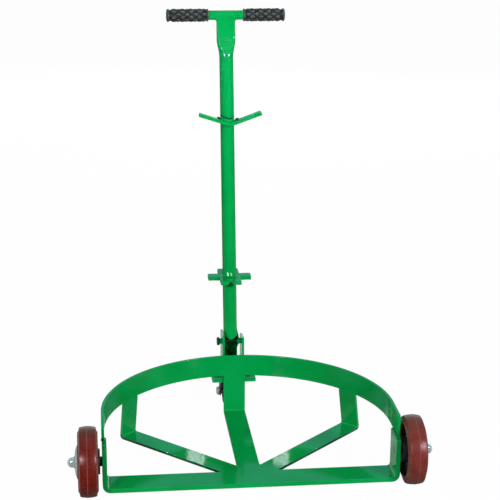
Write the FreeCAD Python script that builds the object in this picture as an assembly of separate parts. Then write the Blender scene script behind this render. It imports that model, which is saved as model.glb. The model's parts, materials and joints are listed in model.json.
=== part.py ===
"""Drum trolley: a low three-wheeled carrier for one 200-litre drum, with a folding T handle.

Millimetres, +Z up. The drum's axis is the line X = 0, Y = 0 while the pieces are made, with the front of
the trolley towards -Y. Every piece is then moved so that the origin is the middle of the footprint.
"""
import FreeCAD, Part
import math
import os

from FreeCAD import Vector

# Half ring round the drum
ring_outer_radius = 316.0
band_thickness = 6.0
band_height = 50.0
ring_plate_gap = 10.0
left_end_overlap = 4.0
right_end_overlap = 51.0

# Front bar with its bent-up ends
bar_width = 65.0
bar_thickness = 10.0
bar_floor_gap = 11.0
bar_setback = 28.0
bar_bend_inner_radius = 7.0

# Straps from the ring to the front bar
strap_width = 50.0
strap_thickness = 6.0
strap_bend_inner_radius = 3.0
diagonal_angle = 45.0
diagonal_width = 46.0
diagonal_meet_shift = 3.0
left_leg_lean = 5.5
right_leg_lean = 9.5

# Front wheels
tyre_radius = 75.0
tyre_width = 43.5
tyre_tread_width = 34.0
tyre_thickness = 11.0
tyre_shoulder_width = 1.8
tyre_shoulder_height = 2.0
tyre_side_height = 3.0
wheel_side_gap = 7.7
axle_shift = 9.5
axle_radius = 9.0
axle_spacer_length = 4.0
axle_spacer_wall = 1.45
core_rim_thickness = 8.0
core_rim_inset = 2.5
core_web_thickness = 14.0
inner_boss_radius = 27.0
outer_boss_margin = 1.0
outer_boss_height = 0.5
bush_wall = 3.5
bush_length = 16.0
hub_cover_radius = 35.0
hub_cover_height = 5.0
hub_cover_wall = 1.5
hub_cover_top_radius = 18.0
hub_washer_wall = 3.95
hub_washer_thickness = 1.5
axle_cap_wall = 1.75
axle_cap_skirt = 5.0
axle_cap_dome_height = 9.0

# Caster
caster_head_room = 22.0
caster_tyre_radius = 34.0
caster_tyre_width = 38.0
caster_tyre_thickness = 9.0
caster_tyre_shoulder_radius = 6.0
caster_trail = 25.0
caster_swivel_gap = 3.0
caster_plate_margin = 10.0
caster_plate_thickness = 4.0
caster_race_wall = 18.0
caster_race_height = 7.0
kingpin_radius = 6.0
kingpin_head_overhang = 5.0
kingpin_head_height = 3.5
fork_wall = 3.5
fork_bend_inner_radius = 3.0
fork_front_reach = 22.0
fork_rear_reach = 30.0
fork_end_radius = 12.0
caster_axle_radius = 5.0
caster_hub_radius = 12.0
caster_hub_side = 1.0
caster_bush_wall = 3.0
caster_spacer_wall = 2.95
caster_spacer_length = 3.2
caster_axle_hexagon = 17.0
caster_axle_nut_height = 6.4
caster_axle_tail = 1.0
caster_bolt_ear_gap = 1.1
caster_bolt_pitch_y = 66.0
caster_bolt_radius = 4.0
caster_bolt_hexagon = 13.0
caster_bolt_head_height = 5.3
caster_bolt_tail = 1.5

# Plate that carries the caster and the handle bracket
mount_plate_side_margin = 5.0
mount_plate_back_margin = 4.0
mount_plate_thickness = 8.0
mount_plate_corner_radius = 6.0

# Handle bracket and pivot
handle_side_shift = -6.0
pivot_behind_ring = 40.0
pivot_above_ring = 20.5
pivot_bolt_radius = 5.0
pivot_bolt_hexagon = 17.0
pivot_bolt_head_height = 6.4
pivot_bolt_tail = 1.5
pivot_collar_length = 3.5
pivot_collar_wall = 1.45
pivot_spacer_length = 8.0
pivot_spacer_wall = 1.95
ear_thickness = 5.0
ear_depth = 56.0
left_ear_front_height = 30.0
left_ear_rear_height = 24.5
right_ear_front_height = 22.0
right_ear_rear_height = 14.0
ear_corner_radius = 3.0
stop_height = 22.0
stop_end_gap = 4.0

# Handle
handle_lean = 10.0
handle_tube_radius = 16.0
handle_tube_wall = 2.5
handle_tube_offset = 6.0
foot_plate_gap = 9.0
foot_cheek_reach = 1.0
foot_tongue_gap = 7.0
foot_tongue_rise = 18.0
grip_bar_height = 760.0
grip_bar_radius = 10.75
grip_bar_wall = 2.5
grip_bar_turn = 3.0
flat_width = 43.4
flat_thickness = 12.0
flat_length = 59.0
taper_length = 48.0
grip_inner_place = 41.2
grip_length = 95.3
grip_wall = 3.75
grip_end_wall = 3.0
grip_collar_length = 4.0
grip_collar_height = 0.75
v_bar_height = 513.5
v_bar_half_span = 73.5
v_bar_side_shift = 4.2
v_bar_turn = 4.5
v_bar_rise_angle = 18.5
v_bar_thickness = 8.3
v_bar_depth = 16.0
v_bar_front_reach = 27.0
wrench_height = 153.3
wrench_half_span = 50.0
wrench_thickness = 10.0
wrench_side_tab_width = 24.0
wrench_end_tab_width = 48.0
wrench_notch_radius = 7.2
wrench_notch_depth = 14.0

# Clearances
running_clearance = 0.05
seat_clearance = 0.05
hole_clearance = 0.1
thrust_clearance = 0.3
side_clearance = 0.4
stop_clearance = 0.3

# Places worked out from the sizes above
caster_height = 2 * caster_tyre_radius + caster_head_room
mount_plate_top = caster_height + mount_plate_thickness
ring_floor_gap = mount_plate_top + ring_plate_gap
ring_inner_radius = ring_outer_radius - band_thickness
pivot_y = ring_outer_radius + pivot_behind_ring
pivot_height = ring_floor_gap + band_height + pivot_above_ring
foot_length = pivot_height - mount_plate_top - foot_plate_gap
stop_low = foot_length - stop_end_gap
stop_width = 2 * handle_tube_radius
bar_front_y = -bar_setback - bar_width
bar_middle_y = -bar_setback - bar_width / 2
bar_top = bar_floor_gap + bar_thickness
strap_bottom = bar_top - strap_thickness
upright_inner_x = ring_outer_radius - bar_thickness
strap_leg_front = math.sqrt(ring_inner_radius**2 - (strap_width / 2)**2)
strap_leg_back = strap_leg_front + strap_thickness
axle_place = Vector(0, bar_middle_y - axle_shift, tyre_radius)
caster_reach = math.hypot(caster_trail + caster_tyre_radius, caster_tyre_width / 2)
kingpin_y = strap_leg_back + caster_reach + caster_swivel_gap
caster_axle_y = kingpin_y + caster_trail
pivot_place = Vector(handle_side_shift, pivot_y, pivot_height)
left_ear_inner = handle_side_shift - handle_tube_radius - side_clearance
right_ear_inner = handle_side_shift + handle_tube_radius + side_clearance + pivot_spacer_length
lean_sine = math.sin(math.radians(handle_lean))
lean_cosine = math.cos(math.radians(handle_lean))
caster_hub_half = caster_tyre_width / 2 + caster_hub_side
fork_inner_half = caster_hub_half + thrust_clearance + caster_spacer_length
fork_half = fork_inner_half + fork_wall
caster_bolt_corner = caster_bolt_hexagon / math.sqrt(3)
ear_reach = max(-left_ear_inner, right_ear_inner) + ear_thickness
caster_bolt_pitch_x = 2 * (ear_reach + caster_bolt_ear_gap + caster_bolt_corner)
caster_plate_width = caster_bolt_pitch_x + 2 * caster_plate_margin
caster_plate_depth = caster_bolt_pitch_y + 2 * caster_plate_margin
mount_plate_width = caster_plate_width + 2 * mount_plate_side_margin
mount_plate_back = kingpin_y + caster_plate_depth / 2 + mount_plate_back_margin
grip_radius = grip_bar_radius + grip_wall
handle_origin = pivot_place + Vector(0, -handle_tube_offset * lean_cosine, handle_tube_offset * lean_sine)
footprint_front = axle_place.y - tyre_radius
grip_swing = (grip_inner_place + grip_length) * math.sin(math.radians(grip_bar_turn)) * lean_cosine
grip_round = grip_radius * math.cos(math.radians(grip_bar_turn))
footprint_back = max(
    handle_origin.y + grip_bar_height * lean_sine + grip_swing + grip_round,
    caster_axle_y + caster_tyre_radius,
)
footprint_middle_y = (footprint_front + footprint_back) / 2


def box(low, high):
    """Block between two opposite corners."""
    size = Vector(*high) - Vector(*low)
    return Part.makeBox(size.x, size.y, size.z, Vector(*low))


def rod(radius, start, end):
    """Round bar between two points."""
    start = Vector(*start)
    along = Vector(*end) - start
    return Part.makeCylinder(radius, along.Length, start, along)


def tube(outer, inner, start, end):
    """Round bar with a bore along its whole length."""
    return rod(outer, start, end).cut(rod(inner, start, end))


def prism(points, along):
    """Solid swept from a flat outline of straight sides."""
    wire = Part.makePolygon([Vector(*point) for point in points], True)
    return Part.Face(wire).extrude(Vector(*along))


def turned(profile, centre):
    """Solid turned about the X direction through a point, from (place along X, radius) points."""
    points = [Vector(centre.x + along, centre.y + radius, centre.z) for along, radius in profile]
    face = Part.Face(Part.makePolygon(points, True))
    return face.revolve(centre, Vector(1, 0, 0), 360)


def arc_between(start, middle, end):
    """Arc edge through three points."""
    return Part.Arc(Vector(*start), Vector(*middle), Vector(*end)).toShape()


def line_between(start, end):
    """Straight edge between two points."""
    return Part.makeLine(Vector(*start), Vector(*end))


def hexagon(width, start_x, end_x, y, z):
    """Six-sided bolt head or nut, sized across its flats, on a level axis across the trolley."""
    corner = width / math.sqrt(3)
    angles = [math.radians(60 * side + 30) for side in range(6)]
    outline = [(start_x, y + corner * math.cos(angle), z + corner * math.sin(angle)) for angle in angles]
    return prism(outline, (end_x - start_x, 0, 0))


def upright_hexagon(width, x, y, low, high):
    """Six-sided bolt head or nut, sized across its flats, on an upright axis."""
    corner = width / math.sqrt(3)
    angles = [math.radians(60 * side) for side in range(6)]
    outline = [(x + corner * math.cos(angle), y + corner * math.sin(angle), low) for angle in angles]
    return prism(outline, (0, 0, high - low))


def mirrored(shape):
    """The same piece on the other side of the trolley."""
    return shape.mirror(Vector(0, 0, 0), Vector(1, 0, 0))


def on_handle(shape):
    """Moves a piece made upright on the tube's axis, level with the pivot, to the leaning handle."""
    placed = shape.copy()
    placed.rotate(Vector(0, 0, 0), Vector(1, 0, 0), -handle_lean)
    placed.translate(handle_origin)
    return placed


def on_grip_bar(shape):
    """Moves a piece made level along X to the grip bar, which is turned a little on the tube."""
    placed = shape.copy()
    placed.rotate(Vector(0, 0, 0), Vector(0, 0, 1), grip_bar_turn)
    return on_handle(placed)


def handle_point(height):
    """Point on the leaning handle's axis, a distance up from the pivot."""
    return handle_origin + Vector(0, height * lean_sine, height * lean_cosine)


def bent_bar(half_width, low, high, wall, bend_inner_radius, back_y, front_y):
    """U of flat bar: a level run with both ends bent up, standing in the XZ plane."""
    outer = bend_inner_radius + wall
    slant = 1 - math.sqrt(0.5)
    edges = []
    outside = (half_width, low, outer)
    inside = (half_width - wall, low + wall, bend_inner_radius)
    for reach, floor, radius in (outside, inside):
        corner = radius * slant
        path = [
            line_between((-reach, back_y, high), (-reach, back_y, floor + radius)),
            arc_between(
                (-reach, back_y, floor + radius),
                (-reach + corner, back_y, floor + corner),
                (-reach + radius, back_y, floor),
            ),
            line_between((-reach + radius, back_y, floor), (reach - radius, back_y, floor)),
            arc_between(
                (reach - radius, back_y, floor),
                (reach - corner, back_y, floor + corner),
                (reach, back_y, floor + radius),
            ),
            line_between((reach, back_y, floor + radius), (reach, back_y, high)),
        ]
        edges.append(path)
    ends = [
        line_between((-half_width, back_y, high), (-half_width + wall, back_y, high)),
        line_between((half_width, back_y, high), (half_width - wall, back_y, high)),
    ]
    outline = Part.Wire(Part.__sortEdges__(edges[0] + edges[1] + ends))
    return Part.Face(outline).extrude(Vector(0, front_y - back_y, 0))


def make_base_bar():
    """Front bar, bent up at both ends, with a hole for each stub axle."""
    bar = bent_bar(
        ring_outer_radius, bar_floor_gap, ring_floor_gap, bar_thickness, bar_bend_inner_radius,
        -bar_setback, bar_front_y,
    )
    hole = rod(
        axle_radius + hole_clearance,
        (-ring_outer_radius - 1, axle_place.y, axle_place.z),
        (ring_outer_radius + 1, axle_place.y, axle_place.z),
    )
    return bar.cut(hole)


def make_ring_band():
    """Half ring on edge, with a straight end over each upright."""
    centre = (0, 0, ring_floor_gap)
    top = (0, 0, ring_floor_gap + band_height)
    half = tube(ring_outer_radius, ring_inner_radius, centre, top)
    back = box(
        (-ring_outer_radius - 1, 0, ring_floor_gap),
        (ring_outer_radius + 1, ring_outer_radius + 1, ring_floor_gap + band_height),
    )
    left = box(
        (-ring_outer_radius, -bar_setback - left_end_overlap, ring_floor_gap),
        (-ring_inner_radius, 0, ring_floor_gap + band_height),
    )
    right = box(
        (ring_inner_radius, -bar_setback - right_end_overlap, ring_floor_gap),
        (ring_outer_radius, 0, ring_floor_gap + band_height),
    )
    return half.common(back).fuse([left, right]).removeSplitter()


def make_strap(start, leg_front, width, lean):
    """L of flat bar along +Y: a floor run from start, then a leg up to the ring, leaning over the run."""
    sine = math.sin(math.radians(lean))
    cosine = math.cos(math.radians(lean))
    inner = strap_bend_inner_radius
    outer = inner + strap_thickness
    bend_z = bar_top + inner
    bend_y = leg_front - (inner - (ring_floor_gap - bend_z) * sine) / cosine
    middle = math.radians(lean / 2 - 45)
    leg_back = leg_front + strap_thickness / cosine
    side = -width / 2

    def on_bend(radius, angle):
        return (side, bend_y + radius * math.cos(angle), bend_z + radius * math.sin(angle))

    leg_turn = math.radians(lean)
    edges = [
        line_between((side, start, strap_bottom), (side, bend_y, strap_bottom)),
        arc_between((side, bend_y, strap_bottom), on_bend(outer, middle), on_bend(outer, leg_turn)),
        line_between(on_bend(outer, leg_turn), (side, leg_back, ring_floor_gap)),
        line_between((side, leg_back, ring_floor_gap), (side, leg_front, ring_floor_gap)),
        line_between((side, leg_front, ring_floor_gap), on_bend(inner, leg_turn)),
        arc_between(on_bend(inner, leg_turn), on_bend(inner, middle), (side, bend_y, bar_top)),
        line_between((side, bend_y, bar_top), (side, start, bar_top)),
        line_between((side, start, bar_top), (side, start, strap_bottom)),
    ]
    return Part.Face(Part.Wire(edges)).extrude(Vector(width, 0, 0))


def make_centre_strap():
    """Strap straight back from the front bar to the middle of the ring."""
    return make_strap(-bar_setback, strap_leg_front, strap_width, 0)


def make_diagonal_strap(side, lean):
    """Strap from the middle of the front bar out to one side of the ring, cut to meet its neighbours."""
    turn = math.radians(diagonal_angle)
    band_middle = (ring_inner_radius + ring_outer_radius) / 2
    meet_y = bar_middle_y + diagonal_meet_shift
    along = meet_y * math.sin(turn)
    reach = -along + math.sqrt(band_middle**2 - meet_y**2 + along**2)
    half_leg = strap_thickness / 2 / math.cos(math.radians(lean))
    strap = make_strap(0, reach - half_leg, diagonal_width, lean)
    strap.rotate(Vector(0, 0, 0), Vector(0, 0, 1), -side * (90 - diagonal_angle))
    strap.translate(Vector(0, meet_y, 0))
    near = side * strap_width / 2
    far = side * 2 * ring_outer_radius
    room = box(
        (min(near, far), -bar_setback, 0),
        (max(near, far), 2 * ring_outer_radius, ring_floor_gap),
    )
    return strap.common(room)


def make_caster_mount_plate():
    """Plate behind the centre strap, drilled for the caster's bolts."""
    plate = box(
        (-mount_plate_width / 2, strap_leg_back, caster_height),
        (mount_plate_width / 2, mount_plate_back, mount_plate_top),
    )
    corners = [edge for edge in plate.Edges if edge.Length < mount_plate_thickness + 0.01
               and edge.CenterOfMass.y > kingpin_y]
    plate = plate.makeFillet(mount_plate_corner_radius, corners)
    return plate.cut(caster_bolt_holes())


def caster_bolt_places():
    """Centres of the four caster bolts."""
    places = []
    for side in (-0.5, 0.5):
        for end in (-0.5, 0.5):
            places.append((side * caster_bolt_pitch_x, kingpin_y + end * caster_bolt_pitch_y))
    return places


def caster_bolt_holes():
    """Room for the four caster bolts through both plates."""
    radius = caster_bolt_radius + hole_clearance
    return Part.makeCompound([rod(radius, (x, y, 0), (x, y, pivot_height)) for x, y in caster_bolt_places()])


def make_ear(inner_x, outer_x, front_height, rear_height):
    """Upright bracket plate from the mount plate past the ring's top edge, drilled for the pivot bolt."""
    front = strap_leg_front
    back = strap_leg_back + ear_depth
    outline = [
        (inner_x, front, mount_plate_top),
        (inner_x, back, mount_plate_top),
        (inner_x, back, pivot_height + rear_height),
        (inner_x, front, pivot_height + front_height),
    ]
    plate = prism(outline, (outer_x - inner_x, 0, 0))
    rear_edges = [edge for edge in plate.Edges if abs(edge.Length - ear_thickness) < 0.01
                  and edge.CenterOfMass.y > pivot_y and edge.CenterOfMass.z > pivot_height]
    plate = plate.makeFillet(ear_corner_radius, rear_edges)
    ring_room = rod(ring_outer_radius, (0, 0, 0), (0, 0, pivot_height + 2 * front_height))
    leg_room = box(
        (-strap_width, 0, 0),
        (strap_width, strap_leg_back, mount_plate_top + band_height),
    )
    hole = rod(
        pivot_bolt_radius + hole_clearance,
        (-ring_outer_radius, pivot_place.y, pivot_place.z),
        (ring_outer_radius, pivot_place.y, pivot_place.z),
    )
    return plate.cut(ring_room).cut(leg_room).cut(hole)


def make_handle_stop():
    """Block on the back of the ring, sloped like the handle's foot that leans on it."""
    block = on_handle(box(
        (-stop_width / 2, ring_inner_radius - handle_origin.y, -stop_low),
        (stop_width / 2, -foot_cheek_reach - stop_clearance, stop_height - stop_low),
    ))
    ring_room = rod(ring_outer_radius, (0, 0, 0), (0, 0, pivot_height))
    return block.cut(ring_room)


def wheel_sides():
    """Places across the left wheel, from the upright outwards, as distances from the drum's axis."""
    boss_inner = ring_outer_radius + axle_spacer_length + thrust_clearance
    tyre_inner = ring_outer_radius + wheel_side_gap
    tyre_outer = tyre_inner + tyre_width
    boss_outer = tyre_outer + outer_boss_height
    cover_top = boss_outer + hub_cover_height
    washer_inner = cover_top + thrust_clearance
    cap_inner = washer_inner + hub_washer_thickness
    return boss_inner, tyre_inner, tyre_outer, boss_outer, cover_top, washer_inner, cap_inner


def at_axle(distance):
    """Point on the left wheel's axle, a distance out from the drum's axis."""
    return Vector(-distance, axle_place.y, axle_place.z)


def make_left_axle():
    """Stub axle, flush with the inside of the upright and ending inside the cap."""
    cap_inner = wheel_sides()[-1]
    return rod(axle_radius, at_axle(upright_inner_x), at_axle(cap_inner + axle_cap_skirt - seat_clearance))


def make_left_axle_spacer():
    """Sleeve between the upright and the wheel."""
    bore = axle_radius + seat_clearance
    return tube(
        bore + axle_spacer_wall, bore,
        at_axle(ring_outer_radius), at_axle(ring_outer_radius + axle_spacer_length),
    )


def circles_of(shape, radius):
    """Round edges of a piece that have a given radius."""
    circles = [edge for edge in shape.Edges if edge.Curve.TypeId == "Part::GeomCircle"]
    return [edge for edge in circles if abs(edge.Curve.Radius - radius) < 0.01]


def make_left_tyre():
    """Solid tyre on the core's rim, with sides that draw in towards a flat tread."""
    tyre_inner, tyre_outer = wheel_sides()[1:3]
    middle = (tyre_inner + tyre_outer) / 2
    rim = tyre_radius - tyre_thickness + seat_clearance
    half = tyre_width / 2
    tread = tyre_tread_width / 2
    one_side = [
        (half, rim),
        (half, rim + tyre_side_height),
        (tread + tyre_shoulder_width, tyre_radius - tyre_shoulder_height),
        (tread, tyre_radius),
    ]
    profile = [(-middle + along, radius) for along, radius in one_side]
    profile += [(-middle - along, radius) for along, radius in reversed(one_side)]
    return turned(profile, axle_place)


def make_left_wheel_core():
    """Moulded core: rim, web and hub in one piece, bored for two bushes."""
    boss_inner, tyre_inner, tyre_outer, boss_outer = wheel_sides()[:4]
    rim_radius = tyre_radius - tyre_thickness
    web_radius = rim_radius - core_rim_thickness
    middle = (tyre_inner + tyre_outer) / 2
    web_inner = middle - core_web_thickness / 2
    web_outer = middle + core_web_thickness / 2
    bore = axle_radius + running_clearance + bush_wall
    outer_boss_radius = hub_cover_radius + outer_boss_margin
    profile = [
        (-boss_inner, bore),
        (-boss_inner, inner_boss_radius),
        (-web_inner, inner_boss_radius),
        (-web_inner, web_radius),
        (-tyre_inner - core_rim_inset, web_radius),
        (-tyre_inner - core_rim_inset, rim_radius),
        (-tyre_outer + core_rim_inset, rim_radius),
        (-tyre_outer + core_rim_inset, web_radius),
        (-web_outer, web_radius),
        (-web_outer, outer_boss_radius),
        (-boss_outer, outer_boss_radius),
        (-boss_outer, bore),
    ]
    return turned(profile, axle_place)


def make_left_wheel_bushes():
    """Two plain bushes, one in each end of the core's bore."""
    boss_inner = wheel_sides()[0]
    boss_outer = wheel_sides()[3]
    inner = axle_radius + running_clearance
    outer = inner + bush_wall - seat_clearance
    return Part.makeCompound([
        tube(outer, inner, at_axle(boss_inner), at_axle(boss_inner + bush_length)),
        tube(outer, inner, at_axle(boss_outer - bush_length), at_axle(boss_outer)),
    ])


def make_left_hub_cover():
    """Plated dish on the outside of the core, open in the middle for the axle."""
    boss_outer, cover_top = wheel_sides()[3:5]
    hole = axle_radius + thrust_clearance
    profile = [
        (-boss_outer, hub_cover_radius - hub_cover_wall),
        (-boss_outer, hub_cover_radius),
        (-boss_outer - hub_cover_wall, hub_cover_radius),
        (-cover_top, hub_cover_top_radius),
        (-cover_top, hole),
        (-cover_top + hub_cover_wall, hole),
        (-cover_top + hub_cover_wall, hub_cover_top_radius - hub_cover_wall),
    ]
    return turned(profile, axle_place)


def make_left_hub_washer():
    """Thrust washer under the axle cap."""
    washer_inner, cap_inner = wheel_sides()[5:7]
    bore = axle_radius + seat_clearance
    return tube(bore + hub_washer_wall, bore, at_axle(washer_inner), at_axle(cap_inner))


def make_left_axle_cap():
    """Bright dome cap pushed over the axle's end."""
    cap_inner = wheel_sides()[-1]
    cap_radius = axle_radius + seat_clearance + axle_cap_wall
    dome_start = cap_inner + axle_cap_skirt
    dome_radius = (cap_radius**2 + axle_cap_dome_height**2) / (2 * axle_cap_dome_height)
    half_angle = math.asin(min(1.0, cap_radius / dome_radius)) / 2
    y = axle_place.y
    z = axle_place.z
    rim = (-dome_start, y + cap_radius, z)
    tip = (-dome_start - axle_cap_dome_height, y, z)
    shoulder_x = dome_start + axle_cap_dome_height - dome_radius * (1 - math.cos(half_angle))
    shoulder = (-shoulder_x, y + dome_radius * math.sin(half_angle), z)
    outline = Part.Wire([
        line_between((-cap_inner, y, z), (-cap_inner, y + cap_radius, z)),
        line_between((-cap_inner, y + cap_radius, z), rim),
        arc_between(rim, shoulder, tip),
        line_between(tip, (-cap_inner, y, z)),
    ])
    cap = Part.Face(outline).revolve(axle_place, Vector(1, 0, 0), 360)
    return cap.cut(rod(axle_radius + seat_clearance, at_axle(cap_inner), at_axle(dome_start)))


def make_caster_top_plate():
    """Caster's own plate, drilled for its bolts and its kingpin."""
    low = caster_height - caster_plate_thickness
    plate = box(
        (-caster_plate_width / 2, kingpin_y - caster_plate_depth / 2, low),
        (caster_plate_width / 2, kingpin_y + caster_plate_depth / 2, caster_height),
    )
    kingpin_hole = rod(
        kingpin_radius + seat_clearance, (0, kingpin_y, low - 1), (0, kingpin_y, caster_height + 1),
    )
    return plate.cut(caster_bolt_holes()).cut(kingpin_hole)


def fork_top():
    """Height of the top face of the caster's fork."""
    return caster_height - caster_plate_thickness - caster_race_height - thrust_clearance


def make_caster_race():
    """Swivel ring under the caster's plate."""
    high = caster_height - caster_plate_thickness
    return tube(
        kingpin_radius + caster_race_wall, kingpin_radius + seat_clearance,
        (0, kingpin_y, high - caster_race_height), (0, kingpin_y, high),
    )


def make_caster_kingpin():
    """Pin through plate, ring and fork, with a head under the fork."""
    head_top = fork_top() - fork_wall - thrust_clearance
    shank = rod(kingpin_radius, (0, kingpin_y, head_top), (0, kingpin_y, caster_height))
    head = rod(
        kingpin_radius + kingpin_head_overhang,
        (0, kingpin_y, head_top - kingpin_head_height), (0, kingpin_y, head_top),
    )
    return shank.fuse(head).removeSplitter()


def make_caster_bolts():
    """Four bolts with their heads on the mount plate."""
    bolts = []
    for x, y in caster_bolt_places():
        nut_low = caster_height - caster_plate_thickness - caster_bolt_head_height
        shank = rod(caster_bolt_radius, (x, y, nut_low - caster_bolt_tail), (x, y, mount_plate_top))
        head_high = mount_plate_top + caster_bolt_head_height
        head = upright_hexagon(caster_bolt_hexagon, x, y, mount_plate_top, head_high)
        bolts.append(shank.fuse(head).removeSplitter())
    return Part.makeCompound(bolts)


def make_caster_nuts():
    """Four nuts under the caster's plate."""
    nuts = []
    high = caster_height - caster_plate_thickness
    low = high - caster_bolt_head_height
    for x, y in caster_bolt_places():
        nut = upright_hexagon(caster_bolt_hexagon, x, y, low, high)
        nuts.append(nut.cut(rod(caster_bolt_radius + seat_clearance, (x, y, low), (x, y, high))))
    return Part.makeCompound(nuts)


def make_caster_fork():
    """Fork pressed from one plate: a crown round the kingpin and two legs down to the axle."""
    high = fork_top()
    front = kingpin_y - fork_front_reach
    back = kingpin_y + fork_rear_reach
    axle_z = caster_tyre_radius
    low = axle_z - fork_end_radius
    upside_down = bent_bar(
        fork_half, 0, high - low, fork_wall, fork_bend_inner_radius,
        caster_axle_y + fork_end_radius, front,
    )
    upside_down.rotate(Vector(0, 0, 0), Vector(0, 1, 0), 180)
    upside_down.translate(Vector(0, 0, high))
    half = fork_half + 1
    side = prism(
        [
            (-half, front, high),
            (-half, back, high),
            (-half, caster_axle_y + fork_end_radius, axle_z),
            (-half, caster_axle_y - fork_end_radius, axle_z),
        ],
        (2 * half, 0, 0),
    )
    round_end = rod(fork_end_radius, (-half, caster_axle_y, axle_z), (half, caster_axle_y, axle_z))
    fork = upside_down.common(side.fuse(round_end))
    axle_hole = rod(
        caster_axle_radius + seat_clearance, (-half, caster_axle_y, axle_z), (half, caster_axle_y, axle_z),
    )
    kingpin_hole = rod(kingpin_radius + running_clearance, (0, kingpin_y, low), (0, kingpin_y, high + 1))
    return fork.cut(axle_hole).cut(kingpin_hole).removeSplitter()


def make_caster_axle_bolt():
    """Bolt through the fork and the caster's wheel, with its head on the right."""
    tail = fork_half + caster_axle_nut_height + caster_axle_tail
    head_end = fork_half + caster_axle_nut_height
    shank = rod(
        caster_axle_radius,
        (-tail, caster_axle_y, caster_tyre_radius), (fork_half, caster_axle_y, caster_tyre_radius),
    )
    head = hexagon(caster_axle_hexagon, fork_half, head_end, caster_axle_y, caster_tyre_radius)
    return shank.fuse(head).removeSplitter()


def make_caster_axle_nut():
    """Nut on the left end of the caster's axle bolt."""
    nut_end = -fork_half - caster_axle_nut_height
    nut = hexagon(caster_axle_hexagon, nut_end, -fork_half, caster_axle_y, caster_tyre_radius)
    bore = rod(
        caster_axle_radius + seat_clearance,
        (nut_end, caster_axle_y, caster_tyre_radius), (-fork_half, caster_axle_y, caster_tyre_radius),
    )
    return nut.cut(bore)


def make_caster_wheel_spacers():
    """Two sleeves that keep the caster's wheel in the middle of the fork."""
    bore = caster_axle_radius + seat_clearance
    inner = caster_hub_half + thrust_clearance
    sleeves = []
    for side in (-1, 1):
        sleeves.append(tube(
            bore + caster_spacer_wall, bore,
            (side * inner, caster_axle_y, caster_tyre_radius),
            (side * fork_inner_half, caster_axle_y, caster_tyre_radius),
        ))
    return Part.makeCompound(sleeves)


def make_caster_tyre():
    """Caster's tyre with rounded shoulders."""
    half = caster_tyre_width / 2
    ring = tube(
        caster_tyre_radius, caster_tyre_radius - caster_tyre_thickness + seat_clearance,
        (-half, caster_axle_y, caster_tyre_radius), (half, caster_axle_y, caster_tyre_radius),
    )
    return ring.makeFillet(caster_tyre_shoulder_radius, circles_of(ring, caster_tyre_radius))


def make_caster_core():
    """Caster's core with a short hub, bored for its bush."""
    half = caster_tyre_width / 2
    rim = caster_tyre_radius - caster_tyre_thickness
    bore = caster_axle_radius + running_clearance + caster_bush_wall
    profile = [
        (-caster_hub_half, bore),
        (-caster_hub_half, caster_hub_radius),
        (-half, caster_hub_radius),
        (-half, rim),
        (half, rim),
        (half, caster_hub_radius),
        (caster_hub_half, caster_hub_radius),
        (caster_hub_half, bore),
    ]
    return turned(profile, Vector(0, caster_axle_y, caster_tyre_radius))


def make_caster_bush():
    """Plain bush through the caster's core."""
    inner = caster_axle_radius + running_clearance
    return tube(
        inner + caster_bush_wall - seat_clearance, inner,
        (-caster_hub_half, caster_axle_y, caster_tyre_radius),
        (caster_hub_half, caster_axle_y, caster_tyre_radius),
    )


def oval_wire(width, thickness, height):
    """Closed outline with round sides and flat front and back, of four edges."""
    side = thickness / 2
    half = width / 2 - side
    return Part.Wire([
        line_between((-half, -side, height), (half, -side, height)),
        arc_between((half, -side, height), (half + side, 0, height), (half, side, height)),
        line_between((half, side, height), (-half, side, height)),
        arc_between((-half, side, height), (-half - side, 0, height), (-half, -side, height)),
    ])


def round_wire(radius, height):
    """Circle cut into four arcs that match the oval's four edges."""
    slant = radius * math.sqrt(0.5)
    return Part.Wire([
        arc_between((-slant, -slant, height), (0, -radius, height), (slant, -slant, height)),
        arc_between((slant, -slant, height), (radius, 0, height), (slant, slant, height)),
        arc_between((slant, slant, height), (0, radius, height), (-slant, slant, height)),
        arc_between((-slant, slant, height), (-radius, 0, height), (-slant, -slant, height)),
    ])


def handle_shaft(inset):
    """The handle's outside, drawn in by a wall: round shaft, taper and flattened top."""
    flat_start = grip_bar_height - flat_length
    taper_start = flat_start - taper_length
    radius = handle_tube_radius - inset
    width = flat_width - 2 * inset
    thickness = flat_thickness - 2 * inset
    shaft = rod(radius, (0, 0, -foot_length), (0, 0, taper_start))
    taper = Part.makeLoft(
        [round_wire(radius, taper_start), oval_wire(width, thickness, flat_start)], True,
    )
    flat = Part.Face(oval_wire(width, thickness, flat_start)).extrude(Vector(0, 0, flat_length))
    return shaft.fuse([taper, flat])


def foot_opening():
    """Room cut from the front of the handle's foot: open below a rounded tongue."""
    wide = handle_tube_radius + 1
    low = -foot_length - 1
    side_height = foot_tongue_gap + foot_tongue_rise
    tip_height = foot_tongue_gap
    front = -wide
    edges = [
        line_between((-wide, front, low), (wide, front, low)),
        line_between((wide, front, low), (wide, front, side_height)),
        arc_between((wide, front, side_height), (0, front, tip_height), (-wide, front, side_height)),
        line_between((-wide, front, side_height), (-wide, front, low)),
    ]
    return Part.Face(Part.Wire(edges)).extrude(Vector(0, wide - foot_cheek_reach, 0))


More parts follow.
